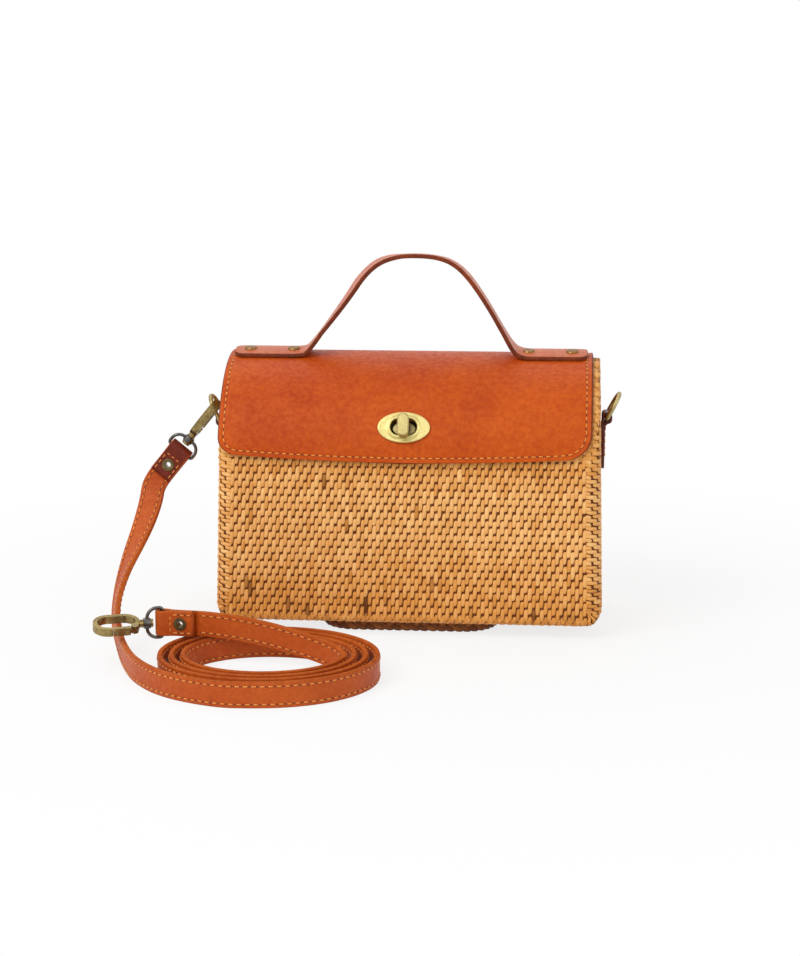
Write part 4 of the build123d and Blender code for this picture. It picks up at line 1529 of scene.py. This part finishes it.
@dataclass
class LeatherLid:
    """The flap: one piece of leather from the back, over the top and down the front."""

    mid_x: float = LID_X
    width: float = LID_WIDTH
    leather: float = 2.4
    arch_y: float = ARCH_Y
    arch_z: float = ARCH_Z
    middle_radius: float = 54.8
    low_z: float = 91.0
    bow: float = 3.4
    bow_reach: float = 60.0
    left_corner: float = 9.0
    right_corner: float = 13.0
    back_y: float = 41.7
    back_low: float = 100.9
    hinge_top: float = 113.0
    hinge_low: float = 128.5
    hinge_slope: float = 0.46
    edge_round: float = 0.7
    edge_share: float = 0.7
    wave: float = 0.45
    wave_reach: float = 35.0
    lock_angle: float = 24.8
    hole_half: float = 2.7
    hole_radius: float = 4.3
    bore_depth: float = 6.0
    row_pitch: float = 1.6
    after_corner: float = 1.5
    before_back: float = 3.4
    field_from: float = 10.5
    field_columns: int = 57
    near_edge: tuple[float, ...] = (0.0, 0.6, 1.2, 1.8, 2.4, 3.0, 3.6, 4.6, 6.0, 8.0)
    groove: float = 0.18
    groove_half_width: float = 0.7
    thread_depth: float = 0.126
    seam_inset: float = 2.4
    seam_start: float = 1.0
    seam_rest: float = 4.0
    stitch_pitch: float = 3.75
    stitch: float = 2.65
    stitch_middle: float = 1.3
    flap_seam_rest: float = 38.0
    back_seam_length: float = 24.0

    def outline(self) -> Array:
        """Draw the leather's middle line from the front's lower edge to the back's.

        Returns:
            Depths and heights.
        """
        first = math.degrees(math.asin((self.low_z - self.arch_z) / self.middle_radius))
        turn = np.radians(np.linspace(first, self.hinge_top, 120))
        arch = np.stack([self.arch_y - self.middle_radius * np.cos(turn),
                         self.arch_z + self.middle_radius * np.sin(turn)], axis=-1)
        corner = np.array([self.back_y, arch[-1, 1] - (self.back_y - arch[-1, 0]) * self.hinge_slope])
        low = np.array([self.back_y, self.hinge_low])
        share = np.linspace(0, 1, 16)[1:, None]
        bend = (1 - share) ** 2 * arch[-1] + 2 * share * (1 - share) * corner + share**2 * low
        heights = np.linspace(self.hinge_low, self.back_low, 21)[1:]
        tail = np.stack([np.full_like(heights, self.back_y), heights], axis=-1)
        return np.concatenate([arch, bend, tail])

    def surface(self, x: Array, up: Array) -> tuple[Array, Array]:
        """Find points and outward directions of the leather's middle.

        Args:
            x: place across, from the flap's middle.
            up: distance from the lower front edge, measured in the middle of the flap.

        Returns:
            Points and directions.
        """
        line = self.outline()
        run = run_length(line)
        # The flap's lower edge hangs deeper in its middle and stands off the basket in soft waves.
        lifted = up + self.bow * (2 * x / self.width) ** 2 * np.clip(1 - up / self.bow_reach, 0, 1)
        y, z = np.interp(lifted, run, line[:, 0]), np.interp(lifted, run, line[:, 1])
        step = 0.6
        ahead, behind = np.minimum(lifted + step, run[-1]), np.maximum(lifted - step, 0)
        slope = unit(np.stack([np.interp(ahead, run, line[:, k]) - np.interp(behind, run, line[:, k])
                               for k in range(2)], axis=-1))
        out = np.stack([np.zeros_like(x), -slope[..., 1], slope[..., 0]], axis=-1)
        ripple = 0.5 + 0.5 * np.sin(x * 0.085 + 0.8) * np.cos(x * 0.031)
        lift = self.wave * ripple * np.clip(1 - up / self.wave_reach, 0, 1) ** 2
        points = np.stack([self.mid_x + x, y, z], axis=-1) + out * lift[..., None]
        return points, out

    def half_at(self, up: Array, x: Array) -> Array:
        """Find the half width of the flap, with its round corners.

        Args:
            up: distance from the lower edge.
            x: place across, of which only the side counts.

        Returns:
            Half widths.
        """
        corner = np.where(x < 0, self.left_corner, self.right_corner)
        inside = np.clip(corner - up, 0, corner)
        return self.width / 2 - corner + np.sqrt(corner**2 - inside**2)

    def rows(self) -> Array:
        """Set out the mesh rows, closer at the corners and the seams.

        Returns:
            Distances from the lower edge.
        """
        total = run_length(self.outline())[-1]
        turn = np.radians(np.linspace(0, 90, 15))
        corner = self.right_corner * (1 - np.cos(turn))
        near = np.array(self.near_edge)
        between = np.arange(self.right_corner + self.after_corner, total - self.before_back, self.row_pitch)
        return np.unique(np.concatenate([corner, near[2:7], between, total - near[5::-1]]))

    def columns(self) -> Array:
        """Set out the mesh columns, closer at the seams.

        Returns:
            Places as shares of the half width.
        """
        near = np.array(self.near_edge)
        inner = np.linspace(self.field_from, self.width - self.field_from, self.field_columns)
        places = np.concatenate([near, inner, self.width - near[::-1]])
        return 2 * places / self.width - 1

    def build(self) -> None:
        """Make the leather, cut the lock's hole and sew the edge."""
        rows = self.rows()
        up, share = np.meshgrid(rows, self.columns(), indexing="ij")
        x = share * self.half_at(up, share)
        middle, out = self.surface(x, up)
        total = rows[-1]
        rim = np.minimum.reduce([self.half_at(up, x) - np.abs(x), up, total - up])
        dip = self.groove * np.exp(-(((rim - self.seam_inset) / self.groove_half_width) ** 2))
        half = self.leather / 2
        top, under = middle + out * (half - dip)[..., None], middle - out * half
        maker = MeshMaker("flap_leather")
        maker.sheets(top[None, :, ::-1], slots=0)
        maker.sheets(under[None], slots=1)
        maker.strip(self.cut_edge(top, middle, under), 2)
        flap = maker.build((COGNAC, SUEDE, EDGE), weighted=True)
        merge(flap)
        turn = math.radians(self.lock_angle)
        through = np.array([0.0, -math.cos(turn), math.sin(turn)])
        centre = np.array([self.mid_x, self.arch_y, self.arch_z]) + through * self.middle_radius
        bore(flap, centre, through, self.hole_radius, self.bore_depth, self.hole_half,
             np.array([1.0, 0.0, 0.0]))
        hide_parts("lid_flap", "hinge_strip")
        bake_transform(flap)
        LOG.info("%s bends between basket and lid, %d faces", flap.name, len(flap.data.polygons))
        self.sew_edge(total)

    def cut_edge(self, top: Array, middle: Array, under: Array) -> list[Array]:
        """Round the cut edge between the two faces of the leather.

        Args:
            top: grid of points of the outer face.
            middle: grid of points of the middle.
            under: grid of points of the inner face.

        Returns:
            Loops of points round the leather, from the outer face to the inner.
        """
        rows, columns = middle.shape[:2]
        order = self.border(rows, columns)
        rim_top, rim_low, rim_middle = [g[order[:, 0], order[:, 1]] for g in (top, under, middle)]
        inner = np.clip(order, [1, 1], [rows - 2, columns - 2])
        away = unit(rim_middle - middle[inner[:, 0], inner[:, 1]]) * self.edge_round
        upper, lower = [rim_middle + (face - rim_middle + away) * self.edge_share
                        for face in (rim_top, rim_low)]
        return [rim_top, upper, rim_middle + away, lower, rim_low]

    @staticmethod
    def border(rows: int, columns: int) -> Array:
        """Walk round a grid.

        Args:
            rows: number of rows.
            columns: number of columns.

        Returns:
            Row and column of each point on the way.
        """
        first = [(0, c) for c in range(columns)]
        right = [(r, columns - 1) for r in range(1, rows)]
        last = [(rows - 1, c) for c in range(columns - 2, -1, -1)]
        left = [(r, 0) for r in range(rows - 2, 0, -1)]
        return np.array(first + right + last + left)

    def sew_edge(self, total: float) -> None:
        """Sew round the flap on its front and, apart, on the back strip.

        Args:
            total: length of the leather from its front edge to its back edge.
        """
        top = total - self.flap_seam_rest
        right, left = [self.half_seam(corner, top) for corner in (self.right_corner, self.left_corner)]
        path = np.concatenate([right, left[-2::-1] * [-1, 1]])
        self.seam("flap_seam", path, Body.LID)
        back = np.linspace(total - self.back_seam_length, total - self.seam_inset, 30)
        edge = self.width / 2 - self.seam_inset
        across = np.linspace(edge, -edge, 90)[1:-1]
        path = np.concatenate([np.stack([np.full_like(back, edge), back], axis=-1),
                               np.stack([across, np.full_like(across, total - self.seam_inset)], axis=-1),
                               np.stack([np.full_like(back, -edge), back[::-1]], axis=-1)])
        self.seam("back_seam", path, Body.BASKET)

    def half_seam(self, corner: float, top: float) -> Array:
        """Draw the seam from the hinge, down one edge, round its corner to the middle of the lower edge.

        Args:
            corner: the corner's radius.
            top: distance of the seam's upper end from the lower edge.

        Returns:
            Places across and up.
        """
        sides = np.linspace(top, corner, 120)
        turn = np.radians(np.linspace(90, 0, 16))
        inner = corner - self.seam_inset
        straight = self.width / 2 - corner
        bottom = np.linspace(straight, 0, 60)[1:]
        bend = np.stack([straight + inner * np.sin(turn), corner - inner * np.cos(turn)], axis=-1)
        return np.concatenate([
            np.stack([np.full_like(sides, self.width / 2 - self.seam_inset), sides], axis=-1), bend[1:],
            np.stack([bottom, np.full_like(bottom, self.seam_inset)], axis=-1)])

    def seam(self, name: str, path: Array, body: Body) -> None:
        """Sew stitches along a path on the leather.

        Args:
            name: the piece's name.
            path: places across and up.
            body: the body that the seam rides on.
        """
        points, out = self.surface(path[:, 0], path[:, 1])
        points = points + out * (self.leather / 2 - self.thread_depth)
        run = run_length(points)
        first = np.arange(self.seam_start, run[-1] - self.seam_rest, self.stitch_pitch)
        at = np.stack([np.interp(first + self.stitch_middle, run, out[:, k]) for k in range(3)], axis=-1)
        maker = MeshMaker(name)
        sew(maker, along(points, first), along(points, first + self.stitch), unit(at))
        seat(maker.build((THREAD, HOLE_PAINTED_SHADE)), body, Slot.COGNAC)


def merge(piece: bpy.types.Object) -> None:
    """Join points of a piece that lie on each other.

    Args:
        piece: the piece.
    """
    sheet = bmesh.new()
    sheet.from_mesh(piece.data)
    bmesh.ops.remove_doubles(sheet, verts=sheet.verts, dist=JOIN_GAP)
    bmesh.ops.recalc_face_normals(sheet, faces=sheet.faces)
    sheet.to_mesh(piece.data)
    sheet.free()


@dataclass
class CarryHandle:
    """The handle: one strap, flat at its riveted ends and arched between them."""

    mid_y: float = 10.18
    width: float = 18.0
    thickness: float = 2.2
    tab_z: float = 142.1
    lid_top: float = TOP_Z
    arch_y: float = ARCH_Y
    arch_z: float = ARCH_Z
    lid_radius: float = 56.0
    tab_round: float = 5.0
    tab_reach: float = 10.0
    edge_radius: float = 0.6
    row_pitch: float = 1.6
    end_length: float = 6.0
    line: tuple[tuple[float, float], ...] = (
        (-95.0, 142.1), (-86.0, 142.1), (-72.0, 142.1), (-60.0, 142.1), (-55.5, 143.4), (-37.0, 167.5),
        (-26.0, 184.2), (-14.0, 192.0), (10.0, 192.6), (24.0, 187.4), (37.0, 170.0), (50.5, 146.2),
        (56.0, 142.1), (68.0, 142.1), (82.0, 142.1), (91.0, 142.1))
    twist_x: tuple[float, ...] = (-60.0, -46.0, -31.0, -20.0, -6.0, 12.0, 28.0, 42.0, 54.0)
    twist: tuple[float, ...] = (0.0, 4.0, 9.0, 5.0, -3.5, -4.0, -1.0, -1.5, 0.0)

    def build(self) -> bpy.types.Object:
        """Make the handle.

        Returns:
            The handle.
        """
        path = nurbs_line(np.array([(x, self.mid_y, z) for x, z in self.line]), per_run=10)
        total = run_length(path)[-1]
        near = np.linspace(0, self.end_length, 12)
        between = np.arange(self.end_length + 1, total - self.end_length, self.row_pitch)
        path = along(path, np.unique(np.concatenate([near, between, total - near])))
        slope = unit(np.gradient(path, axis=0))
        turn = np.radians(np.interp(path[:, 0], self.twist_x, self.twist))
        face = np.stack([-slope[:, 2] * np.cos(turn), -np.sin(turn), slope[:, 0] * np.cos(turn)], axis=-1)
        ribbon = Ribbon(path, face, self.width, self.thickness, edge_radius=self.edge_radius, cuts=5,
                        start_round=self.tab_round, end_round=self.tab_round)
        points = ribbon.points()
        level = np.clip(1 - (path[:, 2] - self.tab_z) / self.tab_reach, 0, 1)
        lid = self.arch_z + np.sqrt(self.lid_radius**2 - (points[..., 1] - self.arch_y) ** 2)
        points[..., 2] += level[:, None] * (lid - self.lid_top)
        maker = MeshMaker("handle_strap")
        maker.sheets(points[None], closed=True, slots=ribbon.section()[1], capped=True)
        return seat(maker.build((HANDLE_LEATHER, EDGE), weighted=True), Body.LID, Slot.COGNAC, "carry_handle")


@dataclass
class SideTab:
    """A leather tab, doubled round the bar of its ring and sewn to the side of the basket."""

    side: Side
    drop: float
    mid_y: float = TAB_Y
    width: float = 11.0
    thickness: float = 1.5
    edge_radius: float = 0.35
    end_round: float = 2.5
    seam_inset: float = 1.6
    seam_length: float = 20.0
    seam_rest: float = 3.0
    stitch_pitch: float = 3.4
    stitch: float = 2.4
    thread: float = 0.28
    outline: tuple[tuple[float, float], ...] = (
        (98.25, 83.2), (98.25, 92.0), (98.25, 99.5), (98.7, 104.0), (99.6, 107.4), (99.35, 112.0),
        (101.4, 112.3), (103.5, 112.0), (103.6, 108.0), (101.3, 107.5), (99.95, 105.8), (99.75, 101.5),
        (99.75, 91.0), (99.75, 83.0))

    def build(self) -> bpy.types.Object:
        """Make the tab and its two seams.

        Returns:
            The tab.
        """
        sign = self.side.value
        corners = [(sign * x, self.mid_y, z - self.drop) for x, z in self.outline]
        path = nurbs_line(np.array(corners), per_run=8)
        slope = unit(np.gradient(path, axis=0))
        face = np.stack([-slope[:, 2], np.zeros(len(path)), slope[:, 0]], axis=-1) * sign
        ribbon = Ribbon(path, face, self.width, self.thickness, edge_radius=self.edge_radius,
                        start_round=self.end_round, end_round=self.end_round)
        name = f"{self.side.name.lower()}_tab"
        maker = MeshMaker(f"{name}_leather")
        maker.sheets(ribbon.points()[None], closed=True, slots=ribbon.section()[1], capped=True)
        # The tab's leather is painted dark as shade.
        tab = seat(maker.build((BROWN, BROWN), weighted=True), Body.BASKET, Slot.BROWN, name)
        seams = MeshMaker(f"{name}_seams")
        clear = (run_length(path)[-1] - self.seam_length, self.seam_rest)
        for edge in (-1, 1):
            stitches = ribbon.seam(self.seam_inset, edge, 1, self.stitch_pitch, self.stitch, clear)
            sew(seams, *stitches, thread=self.thread)
        seat(seams.build((PALE_THREAD, HOLE_PAINTED_SHADE)), Body.BASKET, Slot.BROWN)
        return tab


@dataclass
class Hardware:
    """Metal pieces of the frame, given their plating and softened edges."""

    nodes: dict[str, bpy.types.Object]
    soft_edge: float = 0.22
    edge_angle: float = 35.0
    weld_gap: float = 1e-6

    def plate(self, node: str, finish: Finish, edge: float | None = None) -> None:
        """Give one node its finish and its softened edges.

        Args:
            node: the node's name.
            finish: its plating.
            edge: width of the softened edge in millimetres.
        """
        piece = self.nodes[node]
        piece.data.materials.clear()
        piece.data.materials.append(finish.material())
        weld = piece.modifiers.new("weld", "WELD")
        weld.merge_threshold = self.weld_gap
        bevel = piece.modifiers.new("soft_edges", "BEVEL")
        bevel.width = (self.soft_edge if edge is None else edge) * MM
        bevel.segments = 2
        bevel.limit_method = "ANGLE"
        bevel.angle_limit = math.radians(self.edge_angle)
        piece.modifiers.new("even_normals", "WEIGHTED_NORMAL").keep_sharp = True
        LOG.info("%s is plated with %s", node, finish.name)

    def dress(self) -> None:
        """Dress every metal node."""
        # The lock's base is painted near black: shade inside the plate's hole.
        for node, finish, edge in (("lock_plate", PALE_BRASS, 0.6), ("turn_knob", KNOB_BRASS, 0.6),
                                   ("lock_base", LOCK_SHADE, 0.2)):
            self.plate(node, finish, edge)
        for node in ("lock_backing", "lock_washer", "knob_retainer"):
            self.plate(node, AGED_BRASS, 0.15)
        for node in ("handle_rivets", "handle_rivet_backs"):
            self.plate(node, RIVET_BRASS)
        for side in ("left", "right"):
            self.plate(f"{side}_ring", BRUSHED_BRASS, 0.1)
        for end in ("upper", "lower"):
            self.plate(f"{end}_hook", AGED_BRASS, 0.35)
            self.plate(f"{end}_gate", AGED_BRASS, 0.3)
            self.plate(f"{end}_gate_pin", GUNMETAL, 0.1)
            self.plate(f"{end}_loop", GUNMETAL, 0.15)
            self.plate(f"{end}_eyelet", DARK_BRASS, 0.18)
        self.core()

    def core(self) -> None:
        """Give the basket's coils their finish, painted dark as shade where they show between the splints."""
        piece = self.nodes["basket_body"]
        piece.data.materials.clear()
        piece.data.materials.append(RATTAN_CORE.material())


@dataclass
class LockDisc:
    """The worn oval face of the lock's base, seen round the knob inside the plate's hole."""

    centre: tuple[float, float, float] = (LID_X, -33.836, 108.489)
    out: tuple[float, float, float] = (0.0, -0.90778, 0.41945)
    half_length: float = 6.0
    half_height: float = 3.6
    low: float = -4.25
    high: float = -1.6
    soft: float = 0.35
    sides: int = 48

    def build(self) -> bpy.types.Object:
        """Make the disc.

        Returns:
            The disc.
        """
        out = np.array(self.out)
        side = np.array([1.0, 0.0, 0.0])
        up = np.cross(out, side)
        turn = np.radians(np.arange(self.sides) * 360 / self.sides)
        rings = []
        for level, inset in ((self.low, 0.0), (self.high - self.soft, 0.0), (self.high, self.soft)):
            wide = side * ((self.half_length - inset) * np.cos(turn))[:, None]
            high = up * ((self.half_height - inset) * np.sin(turn))[:, None]
            rings.append(np.array(self.centre) + out * level + wide - high)
        maker = MeshMaker("lock_disc")
        maker.sheets(np.stack(rings)[None], closed=True, capped=True)
        disc = maker.build((BRUSHED_BRASS,), weighted=True)
        merge(disc)
        return seat(disc, Body.BASKET, Slot.BRASS)


@dataclass
class Studio:
    """Camera, soft lights, pale floor and white surround."""

    camera_at: tuple[float, float, float] = (0.086318, -1.095270, 0.289867)
    look: tuple[float, float, float] = (-0.08317701, 0.9780303, -0.19114998)
    lens: float = 79.72
    sensor: float = 36.0
    aim: tuple[float, float, float] = (0.0, 0.0, 0.07)
    world_light: float = 0.55
    floor_half: float = 4.0
    floor_grey: float = 0.86
    shadow_from: float = 0.16
    shadow_to: float = 0.42
    white_near: float = 0.8

    def camera(self) -> None:
        """Set up the camera at the photograph's viewing angle."""
        data = bpy.data.cameras.new("camera")
        data.lens, data.sensor_width, data.sensor_fit = self.lens, self.sensor, "AUTO"
        data.clip_start, data.clip_end = 0.05, 50.0
        made = bpy.data.objects.new("camera", data)
        made.location = self.camera_at
        made.rotation_mode = "QUATERNION"
        made.rotation_quaternion = Vector(self.look).to_track_quat("-Z", "Y")
        bpy.context.scene.collection.objects.link(made)
        bpy.context.scene.camera = made

    def light(self, name: str, place: Sequence[float], size: float, power: float) -> None:
        """Add a square soft light that looks at the bag.

        Args:
            name: its name.
            place: where it stands, in metres.
            size: its side, in metres.
            power: its power in watts.
        """
        data = bpy.data.lights.new(name, "AREA")
        data.shape, data.size, data.energy = "SQUARE", size, power
        made = bpy.data.objects.new(name, data)
        made.location = place
        made.rotation_mode = "QUATERNION"
        made.rotation_quaternion = (Vector(self.aim) - Vector(place)).to_track_quat("-Z", "Y")
        bpy.context.scene.collection.objects.link(made)

    @staticmethod
    def seen(table: NodeTable) -> bpy.types.NodeSocket:
        """Tell rays that show a surface from rays that light another one.

        Args:
            table: nodes of the world or of a material.

        Returns:
            A socket with one for rays that show it, directly, mirrored or through glass.
        """
        path = table.add("LightPath")
        direct = table.add("Math", {"operation": "MAXIMUM"}, _0=path.outputs["Is Camera Ray"],
                           _1=path.outputs["Is Glossy Ray"])
        shown = table.add("Math", {"operation": "MAXIMUM"}, _0=direct.outputs[0],
                          _1=path.outputs["Is Transmission Ray"])
        return shown.outputs[0]

    def surround(self) -> None:
        """Make a white world that lights softly."""
        world = bpy.data.worlds.new("surround")
        bpy.context.scene.world = world
        world.use_nodes = True
        table = NodeTable(world.node_tree)
        strength = table.add("MapRange", Value=self.seen(table), To_Min=self.world_light, To_Max=1.0)
        shine = table.add("Background", Color=(1.0, 1.0, 1.0, 1.0), Strength=strength.outputs["Result"])
        table.tree.links.new(shine.outputs[0], table.add("OutputWorld").inputs["Surface"])

    def floor(self) -> None:
        """Make the pale floor, plain white further out and keeping the shadow near the bag."""
        maker = MeshMaker("floor")
        corners = np.array([[(-1, -1, 0), (1, -1, 0)], [(-1, 1, 0), (1, 1, 0)]])
        maker.sheets(corners[None] * self.floor_half / MM)
        floor = maker.build(())
        material = bpy.data.materials.new("floor")
        material.use_nodes = True
        floor.data.materials.append(material)
        table = NodeTable(material.node_tree)
        away = table.add("VectorMath", {"operation": "LENGTH"}, _0=table.add("TexCoord").outputs["Object"])
        clear = table.add("MapRange", Value=away.outputs["Value"], From_Min=self.shadow_from,
                          From_Max=self.shadow_to, To_Min=self.white_near, To_Max=1.0)
        share = table.add("Math", {"operation": "MULTIPLY"}, _0=self.seen(table), _1=clear.outputs["Result"])
        plain = table.add("BsdfDiffuse", Color=(*[self.floor_grey] * 3, 1.0))
        white = table.add("Emission", Color=(1.0, 1.0, 1.0, 1.0), Strength=1.0)
        table.surface(table.add("MixShader", _0=share.outputs[0], _1=plain.outputs[0], _2=white.outputs[0]))

    def build(self) -> None:
        """Light the bag and lay the floor."""
        self.light("key", place=(-0.85, -1.0, 1.2), size=1.0, power=15.0)
        self.light("fill", place=(1.1, -0.9, 0.7), size=1.2, power=3.4)
        self.light("top", place=(-0.2, 0.5, 1.3), size=1.0, power=3.0)
        self.surround()
        self.floor()


def main() -> None:
    """Dress the bag, part by part."""
    logging.basicConfig(level=logging.INFO, format="%(message)s")
    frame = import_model()
    bpy.context.scene.view_settings.view_transform = "Standard"
    studio = Studio()
    studio.camera()
    ShoulderStrap().build()
    # The upper folded end wears leather painted dark as shade.
    FoldedEnd("upper_strap_end", "upper_fold", STRAP_END_PAINTED_SHADE, bar=(-123.41, -5.698, 89.772),
              axis=(0.6262, 0.0462, 0.7783), lap=(0.0, -1.0, 0.07)).build()
    FoldedEnd("lower_strap_end", "lower_fold", STRAP_LEATHER, bar=(-116.5, -95.3, 19.9),
              axis=(-0.99, 0.1, 0.0), lap=(-0.1, -0.99, 0.0)).build()
    Basket().build()
    FootRing().build()
    LeatherLid().build()
    CarryHandle().build()
    SideTab(Side.LEFT, drop=4.0).build()
    SideTab(Side.RIGHT, drop=0.0).build()
    Hardware(frame["nodes"]).dress()
    LockDisc().build()
    studio.build()


if __name__ == "__main__":
    main()
